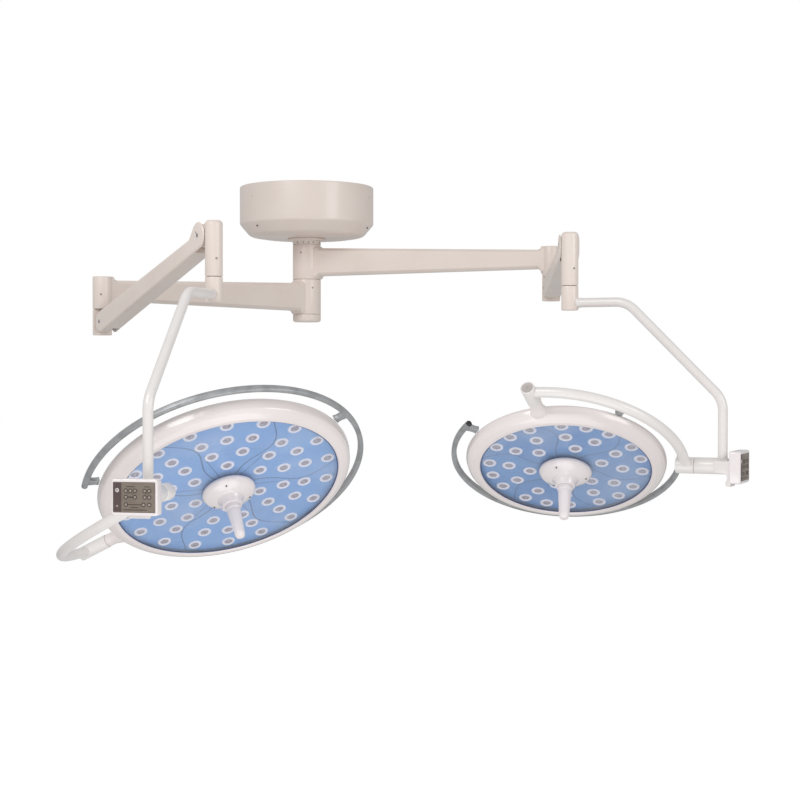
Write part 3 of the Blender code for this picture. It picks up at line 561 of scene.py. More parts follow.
@dataclass(frozen=True)
class LensFace:
    """The blue reflector behind the cover: six sectors parted by curved joint lines."""

    name: str
    colour: tuple[float, float, float]
    deep: tuple[float, float, float]
    line: tuple[float, float, float]
    first_joint: float

    def material(self) -> bpy.types.Material:
        """Builds the face's material from the flat place on the lens, 1 at the lens's edge."""
        shade = Shade(self.name)
        face = shade.node("ShaderNodeUVMap", {"uv_map": "face"}, {})
        u, v = (shade.node("ShaderNodeSeparateXYZ", {}, {0: face}, axis) for axis in "XY")
        out = (u * u + v * v).apply("SQRT")
        angle = v.apply("ARCTAN2", u) * (180 / math.pi)
        bent = angle + (out * 7.5).apply("SINE") * 7.0 - self.first_joint
        sector = (bent + 720.0) / 60.0
        from_joint = (sector.apply("FRACT") - 0.5).apply("ABSOLUTE") * -1.0 + 0.5
        width = from_joint * out
        joint = 1.0 - width.step(0.0045, 0.0085)
        ring = 1.0 - (out - 0.56).apply("ABSOLUTE").step(0.002, 0.005)
        odd = sector.apply("FLOOR").apply("MODULO", 2.0)
        arc = ring * odd * 0.35
        cloud = shade.noise(9.0, 3.0).step(0.3, 0.72)
        tint = shade.mix(cloud * 0.45 + odd * 0.18, self.colour, self.deep)
        spoke = ((angle + 720.0) / 60.0 + 0.36).apply("FRACT") - 0.5
        spoke = 1.0 - (spoke.apply("ABSOLUTE") * out).step(0.0030, 0.0065)
        spoke = spoke * (1.0 - out.step(0.50, 0.56)) * 0.8
        marks = joint.apply("MAXIMUM", arc).apply("MAXIMUM", spoke) * 0.72
        fine = shade.noise(700.0, 2.0)
        shade.set(
            Base_Color=shade.mix(marks, tint, self.line),
            Roughness=cloud * 0.12 + fine * 0.08 + 0.16,
            Coat_Weight=0.6,
            Coat_Roughness=0.08,
        )
        shade.bump(fine * 0.2 - marks, 0.25, 0.0006)
        return shade.material


@dataclass(frozen=True)
class LedCore:
    """The middle of an LED optic: fine spokes and rings under clear resin."""

    name: str
    colour: tuple[float, float, float]
    bright: tuple[float, float, float]

    def material(self) -> bpy.types.Material:
        """Builds the optic's material."""
        shade = Shade(self.name)
        grain = shade.noise(260.0, 4.0, rough=0.7).step(0.42, 0.62)
        fine = shade.noise(1500.0, 2.0)
        shade.set(
            Base_Color=shade.mix(grain, self.colour, self.bright),
            Roughness=grain * 0.2 + fine * 0.1 + 0.12,
            Coat_Weight=0.8,
            Coat_Roughness=0.05,
        )
        shade.bump(grain + fine * 0.3, 0.35, 0.0008)
        return shade.material


@dataclass(frozen=True)
class KeypadFilm:
    """The printed film of the control panel: fine rows of dots on a brownish grey ground."""

    name: str
    ground: tuple[float, float, float]
    print_colour: tuple[float, float, float]

    def material(self) -> bpy.types.Material:
        """Builds the film's material from the flat place on the panel, in half widths."""
        shade = Shade(self.name)
        face = shade.node("ShaderNodeUVMap", {"uv_map": "face"}, {})
        weave = shade.node(
            "ShaderNodeTexChecker", {}, {"Vector": face, "Scale": 90.0}, "Fac"
        )
        cloud = shade.noise(60.0, 4.0).step(0.3, 0.7)
        fine = shade.noise(1800.0, 2.0)
        shade.set(
            Base_Color=shade.mix(weave * 0.22 + cloud * 0.25, self.ground, self.print_colour),
            Roughness=cloud * 0.12 + fine * 0.08 + 0.30,
            Metallic=0.15,
        )
        shade.bump(fine + weave * 0.4, 0.08, 0.0003)
        return shade.material


class Palette:
    """Every finish of the light, each made once."""

    def __init__(self) -> None:
        """Makes the materials."""
        cream, cream_low = (0.83, 0.735, 0.675), (0.79, 0.69, 0.625)
        self.cream = Paint("cream_paint", cream, cream_low, 0.36, 0.10).material()
        self.tube = Paint("tube_paint", (0.82, 0.785, 0.765), (0.79, 0.75, 0.73), 0.30,
                          0.02).material()
        self.rim = Paint("rim_gloss", (0.85, 0.785, 0.77), (0.82, 0.75, 0.735), 0.20, 0.02,
                         0.7).material()
        self.gloss = Paint("gloss_white", (0.86, 0.80, 0.80), (0.83, 0.76, 0.77), 0.17, 0.02,
                           0.8).material()
        self.rail = Metal("rail_satin", (0.42, 0.43, 0.44), 0.42, (1, 1, 1), 0.45).material()
        self.rail_cap = Moulded("rail_cap_black", (0.018, 0.018, 0.02), 0.35).material()
        self.steel = Metal("bare_steel", (0.56, 0.56, 0.57), 0.30).material()
        self.plate = Metal("plate_steel", (0.22, 0.22, 0.23), 0.46, (0.03, 1, 1)).material()
        self.board = Metal("board_aluminium", (0.70, 0.71, 0.72), 0.38, (1, 0.03, 1)).material()
        self.nylon = Moulded("nylon", (0.70, 0.68, 0.62), 0.5).material()
        self.screw = Metal("screw_dark", (0.10, 0.09, 0.09), 0.45, (1, 1, 1), 0.7).material()
        self.seam = Moulded("seam_shadow", (0.10, 0.085, 0.08), 0.7).material()
        self.cap = Moulded("pivot_cap_grey", (0.46, 0.42, 0.40), 0.42, 500.0, 0.3).material()
        self.clear = ClearCover().material()
        # Painted shade: a dark blue ring that stands for the shadow in the gap at the lens's edge.
        self.shade_ring = Moulded("painted_shade_ring_blue", (0.035, 0.065, 0.20), 0.4).material()
        self.led_ring = Moulded("led_ring", (0.86, 0.84, 0.90), 0.20, lift=0.06).material()
        self.led_core = LedCore("led_core", (0.27, 0.21, 0.22), (0.56, 0.47, 0.48)).material()
        self.film = KeypadFilm("keypad_film", (0.205, 0.165, 0.13), (0.30, 0.255, 0.215)).material()
        self.strip = Moulded("keypad_strip", (0.085, 0.058, 0.055), 0.5).material()
        self.key = Moulded("key_cap", (0.62, 0.58, 0.55), 0.35).material()
        self.key_face = Moulded("key_face", (0.33, 0.28, 0.24), 0.40).material()
        self.key_mark = Moulded("key_mark", (0.045, 0.035, 0.035), 0.55).material()
        self.housing = Paint("housing_gloss", (0.87, 0.83, 0.81), (0.84, 0.79, 0.775), 0.24, 0.04,
                             0.6).material()


# ---------------------------------------------------------------- the frame
class Frame:
    """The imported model, and where its joints are."""

    def __init__(self, loaded: dict[str, Any]) -> None:
        """Keeps the loaded frame and looks up its joints by name."""
        self.nodes = loaded["nodes"]
        self.joints = {joint["name"]: joint for joint in loaded["joints"]}

    def at(self, joint: str) -> Array:
        """The point that a joint turns about."""
        return np.array(self.joints[joint]["pos_m"], float)

    def axis(self, joint: str) -> Array:
        """The direction of a joint's axis."""
        return np.array(self.joints[joint]["axis"], float)

    def dress(self, node: str, material: bpy.types.Material) -> None:
        """Gives a CAD node a better material."""
        slots = self.nodes[node].data.materials
        slots.clear()
        slots.append(material)

    def hang(self, piece: bpy.types.Object, body: str, slot: str, *nodes: str) -> None:
        """Makes a piece move with a body and stand for CAD nodes, and reports it.

        Args:
            piece: the finished piece.
            body: the body that it rides on.
            slot: not used.
            *nodes: the CAD nodes that it stands for.
        """
        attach(piece, body)
        if nodes:
            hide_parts(*nodes)
        log.info("%s rides on %s, %d faces", piece.name, body, len(piece.data.polygons))


SCREW = np.array([(0, -0.0006), (0.45, -0.0006), (0.5, 0.0002), (0.8, 0.0005), (1.0, 0.0001),
                  (1.0, -0.002), (0, -0.002)])


@dataclass
class Assembly:
    """What every sub-assembly has: the frame, the finishes, and ways to hang its pieces."""

    frame: Frame
    palette: Palette

    def show(self, name: str, body: str, slot: str, form: Form,
             materials: Sequence[bpy.types.Material], *nodes: str, face_map: float = 0.0) -> None:
        """Makes a form into a piece that moves with a body.

        Args:
            name: the piece's name.
            body: the body that it rides on.
            slot: the record's material slot that its finish belongs to.
            form: its surfaces.
            materials: one material for each mark.
            *nodes: the CAD nodes that it stands for.
            face_map: as in Form.made.
        """
        self.frame.hang(form.made(name, materials, face_map=face_map), body, slot, *nodes)

    def fasten(self, name: str, body: str, places: Sequence[Place], radius: float) -> None:
        """Hangs small socket screws, each with a chamfered head and a recess, along Z."""
        form = Form(places[0])
        head = revolved(SCREW * [radius, 1], 14)
        for place in places:
            form.add(head, Ends.OPEN, 0, place)
        self.show(name, body, "dark_steel", form, [self.palette.screw])


# ---------------------------------------------------------------- ceiling parts
@dataclass
class CeilingMount(Assembly):
    """The canopy, its collar and the cap under the column, round the column's axis."""

    body: str = "ceiling_base"
    canopy_radius: float = 0.2235
    canopy_wall: float = 0.003
    canopy_side: float = 0.1235
    floor_radius: float = 0.178
    column_radius: float = 0.0468
    collar_radius: float = 0.064
    hole_radius: float = 0.032

    def __post_init__(self) -> None:
        """Takes the column's axis as the frame."""
        self.place = Place.along((0, 0, 0), (1, 0, 0), (0, 0, 1))

    def canopy(self) -> None:
        """The bowl: a wall, a rounded shoulder and a sloping floor, turned round the column."""
        low, high = (float(corner.z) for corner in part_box("canopy"))
        r, wall = self.canopy_radius, self.canopy_wall
        outer = softened(
            [(r - 0.0015, high), (r, high - 0.002), (r, -self.canopy_side),
             (self.floor_radius + 0.012, low + 0.007), (self.floor_radius - 0.03, low + 0.0005),
             (self.hole_radius, low)],
            [0.001, 0.012, 0.03, 0.04], 7,
        )
        inner = outer[::-1] + np.where(outer[::-1][:, :1] > self.floor_radius, [[-wall, wall]],
                                       [[0.0, wall]])
        inner[-1, 1] = high
        form = Form(self.place).add(revolved(np.concatenate([outer, inner]), 144), Ends.LOOP)
        self.show("canopy_bowl", self.body, "warm_white", form, [self.palette.cream], "canopy")
        places = [
            self.place.turned(angle).moved(x=r - 0.0004, z=-0.042).facing("X")
            for angle in range(-140, 220, 120)
        ]
        places += [
            self.place.turned(angle).moved(x=r - 0.0092, z=-0.139).facing("X")
            for angle in range(-136, 224, 120)
        ]
        self.fasten("canopy_screws", self.body, places, 0.0026)

    def collar(self) -> None:
        """The flange and neck under the canopy, with its ring of small screws."""
        low, high = (float(corner.z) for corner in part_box("canopy_collar"))
        r = self.column_radius
        line = softened(
            [(0.031, low), (r, low), (r, high - 0.0085), (self.collar_radius, high - 0.006),
             (self.collar_radius, high), (0.031, high)], [0.0008, 0.003, 0.002, 0.001], 5,
        )
        form = Form(self.place).add(revolved(line, 96), Ends.LOOP)
        self.show("column_collar", self.body, "warm_white", form, [self.palette.cream],
                  "canopy_collar")
        places = [
            self.place.turned(angle).moved(x=r + 0.0002, z=high - 0.0135).facing("X")
            for angle in (-128, -101, -79, -60, -20, 30, 80, 130, 180)
        ]
        self.fasten("collar_screws", self.body, places, 0.0022)

    def cap(self) -> None:
        """The cup under the lower hub, hollow above so that the nut fits in it."""
        low, high = (float(corner.z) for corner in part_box("spindle_cap"))
        r = self.column_radius
        line = softened(
            [(0, low), (r, low), (r, high), (0.0414, high), (0.0414, low + 0.009),
             (0, low + 0.009)], [0.008, 0.0006, 0.0006, 0.002], 6,
        )
        form = Form(self.place).add(revolved(line, 96), Ends.OPEN)
        self.show("column_cap", self.body, "warm_white", form, [self.palette.cream],
                  "spindle_cap")

    def build(self) -> None:
        """Makes the ceiling parts and dresses the hidden ones."""
        self.canopy()
        self.collar()
        self.cap()
        self.frame.dress("ceiling_plate", self.palette.plate)
        self.frame.dress("spindle", self.palette.steel)
        self.frame.dress("spindle_nut", self.palette.steel)


# ---------------------------------------------------------------- extension arm
@dataclass
class ExtensionArm(Assembly):
    """A tapered hollow beam with a hub at each end; X runs from the column to the elbow."""

    side: Side
    hub_radius: float = 0.0468
    hub_height: float = 0.116
    elbow_radius: float = 0.0287
    elbow_above: float = 0.096
    root_width: float = 0.062
    tip_width: float = 0.046
    root_low: float = 0.011
    root_high: float = 0.103
    tip_low: float = 0.019
    tip_high: float = 0.078
    edge: float = 0.009
    root_flare: float = 0.010
    tip_flare: float = 0.016

    def __post_init__(self) -> None:
        """Finds the arm's frame from its two joints."""
        root, tip = self.frame.at(f"{self.side}_swing"), self.frame.at(f"{self.side}_elbow")
        along = np.array([tip[0] - root[0], tip[1] - root[1], 0.0])
        self.reach = float(np.linalg.norm(along))
        self.drop = float(tip[2] - root[2])
        self.place = Place.along(root, along, (0, 0, 1))

    def beam(self) -> Array:
        """The beam's skin.

        The half width and the two heights go evenly from root to tip. Near each hub both heights
        open out by a quarter circle: R - sqrt(R^2 - (R - d)^2) at a distance d from the hub.
        """
        start, end = self.hub_radius - 0.012, self.reach - self.elbow_radius + 0.012
        near = self.hub_radius + self.root_flare * (1 - np.cos(np.linspace(0, math.pi / 2, 9)))
        far = self.reach - self.elbow_radius - self.tip_flare * (
            1 - np.cos(np.linspace(math.pi / 2, 0, 11)))
        middle = np.linspace(self.hub_radius + 0.02, self.reach - self.elbow_radius - 0.03, 12)
        x = np.concatenate([[start], near, middle, far, [end]])
        share = np.clip((x - self.hub_radius) / (self.reach - self.hub_radius), 0, 1)

        def flare(distance: Array, radius: float) -> Array:
            """A quarter circle that rises to radius at no distance."""
            left = radius - np.clip(distance, 0, radius)
            return radius - np.sqrt(np.maximum(radius**2 - left**2, 0))

        root = flare(x - self.hub_radius, self.root_flare)
        tip = flare(self.reach - self.elbow_radius - x, self.tip_flare)
        low = self.root_low + (self.tip_low - self.root_low) * share - root - tip
        high = self.root_high + (self.tip_high - self.root_high) * share + root * 0.6 + tip * 0.7
        half = (self.root_width + (self.tip_width - self.root_width) * share) / 2
        low = np.maximum(low, self.drop + 0.002)
        edge = self.edge
        corner = softened(
            [(-1, 0), (-0.7, -1), (0.7, -1), (1, 0), (1, 1), (0.7, 2), (-0.7, 2), (-1, 1)],
            0.12, 4, closed=True,
        )
        u, v = corner[:, 0], corner[:, 1]
        y = half[:, None] * u
        side = np.clip(v, 0, 1)
        z_low, z_high = low[:, None] + edge, high[:, None] - edge
        z = z_low + (z_high - z_low) * side
        z = z + edge * np.minimum(v, 0) + edge * np.maximum(v - 1, 0)
        return np.stack([np.broadcast_to(x[:, None], y.shape), y, z], -1)

    def build(self) -> None:
        """Makes the arm in one skin with its two hubs, and its screws."""
        form = Form(self.place)
        form.add(self.beam())
        form.add(revolved(barrel(self.hub_radius, 0, self.hub_height, 0.0012), 96), Ends.OPEN)
        elbow = self.place.moved(x=self.reach)
        low = self.drop
        form.add(
            revolved(barrel(self.elbow_radius, low, low + self.elbow_above, 0.0022), 72),
            Ends.OPEN, 0, elbow,
        )
        body = f"{self.side}_extension_arm_body"
        self.show(f"{self.side}_arm_casting", body, "warm_white", form, [self.palette.cream],
                  f"{self.side}_extension_arm")
        turn = -math.degrees(math.atan2(self.place.x[1], self.place.x[0]))
        front = -1 if self.side is Side.RIGHT else 1
        half = self.root_width / 2
        places = [
            self.place.turned(turn - 112 if self.side is Side.RIGHT else turn - 62)
            .moved(x=self.hub_radius, z=0.088).facing("X"),
            elbow.turned(turn - 88).moved(x=self.elbow_radius, z=0.036).facing("X"),
            elbow.turned(turn + 92).moved(x=self.elbow_radius, z=0.036).facing("X"),
        ]
        for x in (0.062, 0.118):
            for way in (front, -front):
                inset = half - 0.0185 * (x / self.reach)
                face = self.place.moved(x=x, y=way * inset, z=0.062)
                places.append(face.facing("Y" if way > 0 else "-Y"))
        self.fasten(f"{self.side}_arm_screws", body, places, 0.0028)
        self.frame.dress(f"{self.side}_hub_bush", self.palette.nylon)
        self.frame.dress(f"{self.side}_elbow_pin", self.palette.steel)


# ---------------------------------------------------------------- spring arm
@dataclass
class SpringArm(Assembly):
    """The lifting arm: root bracket, hollow shell and end hub, in the plane of the lift joint."""

    side: Side
    root_radius: float = 0.0287
    root_depth: float = 0.078
    seam: float = 0.0008
    tongue_half: float = 0.016
    tongue_rise: float = 0.030
    tongue_end: float = 0.016
    shell_half: float = 0.027
    shell_wall: float = 0.0036
    root_round: float = 0.032
    tip_round: float = 0.036
    root_top: float = 0.030
    tip_top: float = 0.006
    root_bottom: float = -0.032
    mouth: float = 0.031
    edge: float = 0.007
    end_out: float = 0.043
    end_radius: float = 0.0229
    end_up: float = 0.0367
    end_down: float = 0.108

    def __post_init__(self) -> None:
        """Finds the frames of the bracket, the shell and the end hub."""
        lift, level = self.frame.at(f"{self.side}_lift"), self.frame.at(f"{self.side}_level")
        along = level - lift
        self.length = float(np.linalg.norm(along))
        flat = np.array([along[0], along[1], 0.0])
        self.bracket = Place.along(lift, flat, (0, 0, 1))
        across = np.cross((0, 0, 1), flat)
        self.shell = Place.along(lift, along, np.cross(along, across))
        self.hub = Place.along(level, flat, (0, 0, 1))
        self.elbow = self.frame.at(f"{self.side}_elbow")

    def flat_form(self, place: Place, outline: Array, half: float, edge: float) -> Form:
        """A form that holds an outline of (x, z) made solid across Y, with rounded edges."""
        form = Form(Place(place.origin, place.x, place.z, -place.y))
        return form.add(slab(outline, cushion(-half, half, edge, 5)))

    def tongue(self, past: float, steps: int = 12) -> Array:
        """The outline of a hinge's tongue: a block with a rounded front end."""
        r, h = self.tongue_end, self.tongue_rise
        return softened([(-past, -h), (-r, -h), (r, -r), (r, r), (-r, h), (-past, h)],
                        [0.004, r, r, 0.004], steps, False)

    def root(self) -> None:
        """The lower half of the elbow with its tongue."""
        axis = Place.along(self.elbow, self.bracket.x, (0, 0, 1))
        form = Form(axis)
        form.add(
            revolved(barrel(self.root_radius, -self.root_depth, -self.seam, 0.003), 72), Ends.OPEN
        )
        drum = form.made(f"{self.side}_root_drum", [self.palette.cream])
        out = float((self.bracket.origin - self.elbow) @ self.bracket.x)
        front = Form(axis)
        front.add(slab(oblong(0.1, 0.12, 0.001), [(0, -0.1), (0, 0.02)]), Ends.FLAT, 0,
                  axis.moved(x=out - self.root_round - 0.002 + 0.05))
        carved(drum, [front.made("front", [])])
        outline = self.tongue(out + 0.010)
        tongue = self.flat_form(self.bracket, outline, self.tongue_half, 0.002)
        body = f"{self.side}_root_bracket_body"
        self.frame.hang(drum, body, "warm_white", f"{self.side}_root_bracket")
        self.show(f"{self.side}_root_tongue", body, "warm_white", tongue, [self.palette.cream])
        turn = -math.degrees(math.atan2(axis.x[1], axis.x[0]))
        place = axis.turned(turn - 105).moved(x=self.root_radius, z=-0.047).facing("X")
        self.fasten(f"{self.side}_root_screw", body, [place], 0.0022)

    def outline(self) -> Array:
        """The shell's side view: rounds about both hinges joined by its upper and lower walls."""
        turn = np.radians(np.linspace(270, 108, 22))
        root = self.root_round * np.stack([np.cos(turn), np.sin(turn)], -1)
        turn = np.radians(np.linspace(146, -93, 34))
        tip = self.tip_round * np.stack([np.cos(turn), np.sin(turn)], -1) + [self.length, 0]
        dip = softened([(0.012, self.root_top), (self.length - self.tip_round * 1.42,
                        self.tip_top + 0.003), tuple(tip[3])], 0.03, 8)
        return np.concatenate([root, dip[:-1], tip[3:]])

    def skin(self) -> None:
        """The hollow shell, open at both ends where the tongues go in."""
        inner = self.shell_half - self.shell_wall
        shell = self.flat_form(self.shell, self.outline(), self.shell_half, self.edge).made(
            f"{self.side}_spring_arm_cover", [self.palette.cream])
        run = self.length - self.mouth
        wall = self.shell_wall + 0.0015
        hollow = self.flat_form(self.shell, np.array([
            (self.mouth - 0.004, self.root_top - wall), (run + 0.004, self.tip_top - wall),
            (run + 0.004, -self.tip_round + wall), (self.mouth - 0.004, self.root_bottom + wall),
        ]), inner, 0.0005).made("hollow", [])
        gaps = [
            self.flat_form(self.shell, np.array([(a, -0.07), (b, -0.07), (b, 0.07), (a, 0.07)]),
                           inner, 0.0005).made("gap", [])
            for a, b in ((-0.07, self.mouth), (run, self.length + 0.07))
        ]
        carved(shell, [hollow, *gaps])
        body = f"{self.side}_spring_arm_body"
        self.frame.hang(shell, body, "warm_white", f"{self.side}_spring_arm_shell")
        places = []
        for x, z in ((0.0, 0.0), (self.length - 0.004, 0.010)):
            for way in ("Y", "-Y"):
                sign = 1 if way == "Y" else -1
                places.append(self.shell.moved(x=x, y=sign * self.shell_half, z=z).facing(way))
        self.fasten(f"{self.side}_cover_screws", body, places, 0.0026)

    def end_hub(self) -> None:
        """The upright hub at the tip, with a chamfered top, its tongue and its brake screw."""
        low, r = -self.end_down + self.seam, self.end_radius
        line = softened([(0, low), (r, low), (r, self.end_up - 0.006), (r - 0.006, self.end_up),
                         (0, self.end_up)], [0.001, 0.003, 0.003], 5)
        axis = self.hub.moved(x=self.end_out)
        form = Form(axis).add(revolved(line, 72), Ends.OPEN)
        body = f"{self.side}_end_hub_body"
        self.show(f"{self.side}_end_hub_turned", body, "warm_white", form, [self.palette.cream],
                  f"{self.side}_end_hub")
        outline = self.tongue(self.end_out) * [-1, 1]
        tongue = self.flat_form(self.hub, outline, self.tongue_half, 0.002)
        drum = revolved(barrel(0.0300, -0.0160, 0.0225, 0.004), 56)
        tongue.add(drum, Ends.OPEN, 0, self.hub.facing("-Y"))
        self.show(f"{self.side}_end_tongue", body, "warm_white", tongue, [self.palette.cream])
        turn = -math.degrees(math.atan2(axis.x[1], axis.x[0]))
        places = [axis.turned(turn - angle).moved(x=r, z=-0.062).facing("X") for angle in (66, 246)]
        self.fasten(f"{self.side}_end_screws", body, places, 0.0028)

    def build(self) -> None:
        """Makes the spring arm and dresses its pins, spring and level bar."""
        self.root()
        self.skin()
        self.end_hub()
        for node in ("root_pin", "tip_pin", "level_bar", "balance_spring"):
            metal = self.palette.plate if node == "balance_spring" else self.palette.steel
            self.frame.dress(f"{self.side}_{node}", metal)


# ---------------------------------------------------------------- yoke
@dataclass
class Yoke(Assembly):
    """The bent tube under the end hub, with the axle knuckle and foot at its lower end."""

    side: Side
    reach: float
    level: float
    drop: float
    hub_radius: float = 0.0229
    hub_depth: float = 0.0663
    seam: float = 0.0008
    tube_drop: float = 0.0462
    tube_radius: float = 0.0125
    bend: float = 0.055
    axle_radius: float = 0.0215
    knuckle_to_tube: float = 0.095
    axle_out: float = 0.022
    box_out: float = 0.030
    foot_depth: float = 0.050
    near: float = 0.034
    far: float = 0.013

    def __post_init__(self) -> None:
        """Finds the swivel's frame, with X towards the tube's upright run."""
        along = self.frame.axis(f"{self.side}_arc_tilt")
        self.place = Place.along(self.frame.at(f"{self.side}_swivel"), along, (0, 0, 1))
        self.body = f"{self.side}_yoke_body"

    def tube(self) -> None:
        """The hub and the tube: a round section carried along a route with two soft bends."""
        form = Form(self.place)
        r = self.hub_radius
        form.add(revolved(barrel(r, -self.hub_depth, -self.seam, 0.0022), 72), Ends.OPEN, 1)
        fall = self.reach - self.level
        corners = [(0.004, 0, -self.tube_drop), (self.level, 0, -self.tube_drop),
                   (self.reach, 0, -self.tube_drop - fall), (self.reach, 0, -self.drop + 0.004)]
        route = softened(corners, [self.bend * 1.3, self.bend * 1.3], 22)
        form.add(carried(route, circle(self.tube_radius, 32), (0, 1, 0)))
        collar = np.array([(0.0142, 0.0), (0.0150, 0.002), (0.0135, 0.009), (0.0126, 0.013)])
        form.add(revolved(collar, 40), Ends.FLAT, 0, self.place.moved(
            x=r - 0.0035, z=-self.tube_drop).facing("X"))
        self.show(f"{self.side}_yoke_tube", self.body, "tube_white", form,
                  [self.palette.tube, self.palette.cream], f"{self.side}_yoke")

    def knuckle(self) -> None:
        """The axle knuckle: a round barrel, the block that holds the tube, and a filleted foot."""
        axle = self.place.moved(x=self.reach, z=-self.drop)
        seam_x = -self.knuckle_to_tube + self.axle_out
        form = Form(axle)
        form.add(
            revolved(barrel(self.axle_radius, seam_x + self.seam, 0.014, 0.0016), 64),
            Ends.OPEN, 0, axle.facing("X"),
        )
        back = self.box_out - 0.0006
        side = [(-0.016, 0.0155), (back - 0.002, 0.0155), (back - 0.002, -self.foot_depth),
                (back - 0.013, -self.foot_depth - 0.001), (back - 0.017, -self.foot_depth + 0.006),
                (back - 0.011, -0.030), (back - 0.014, -0.0190), (-0.016, -0.0165)]
        outline = softened(side, [0.004, 0.002, 0.003, 0.003, 0.012, 0.008, 0.012, 0.004], 7,
                           closed=True)
        levels = cushion(-self.far + 0.001, self.near - 0.001, 0.0035, 5)
        form.add(slab(outline, levels), Ends.FLAT, 0, Place(axle.origin, axle.x, axle.z, -axle.y))
        backing = oblong(self.near + self.far + 0.008, 0.070, 0.004, 5)
        form.add(slab(backing, cushion(0, 0.006, 0.002)), Ends.FLAT, 0,
                 axle.moved(x=back - 0.006, y=-(self.near - self.far) / 2, z=-0.016)
                 .facing("X"))
        self.show(f"{self.side}_axle_casting", self.body, "tube_white", form,
                  [self.palette.tube], f"{self.side}_axle_knuckle")

    def build(self) -> None:
        """Makes the tube and the knuckle, and dresses the pins."""
        self.tube()
        self.knuckle()
        self.frame.dress(f"{self.side}_swivel_pin", self.palette.steel)
        self.frame.dress(f"{self.side}_axle_pin", self.palette.steel)


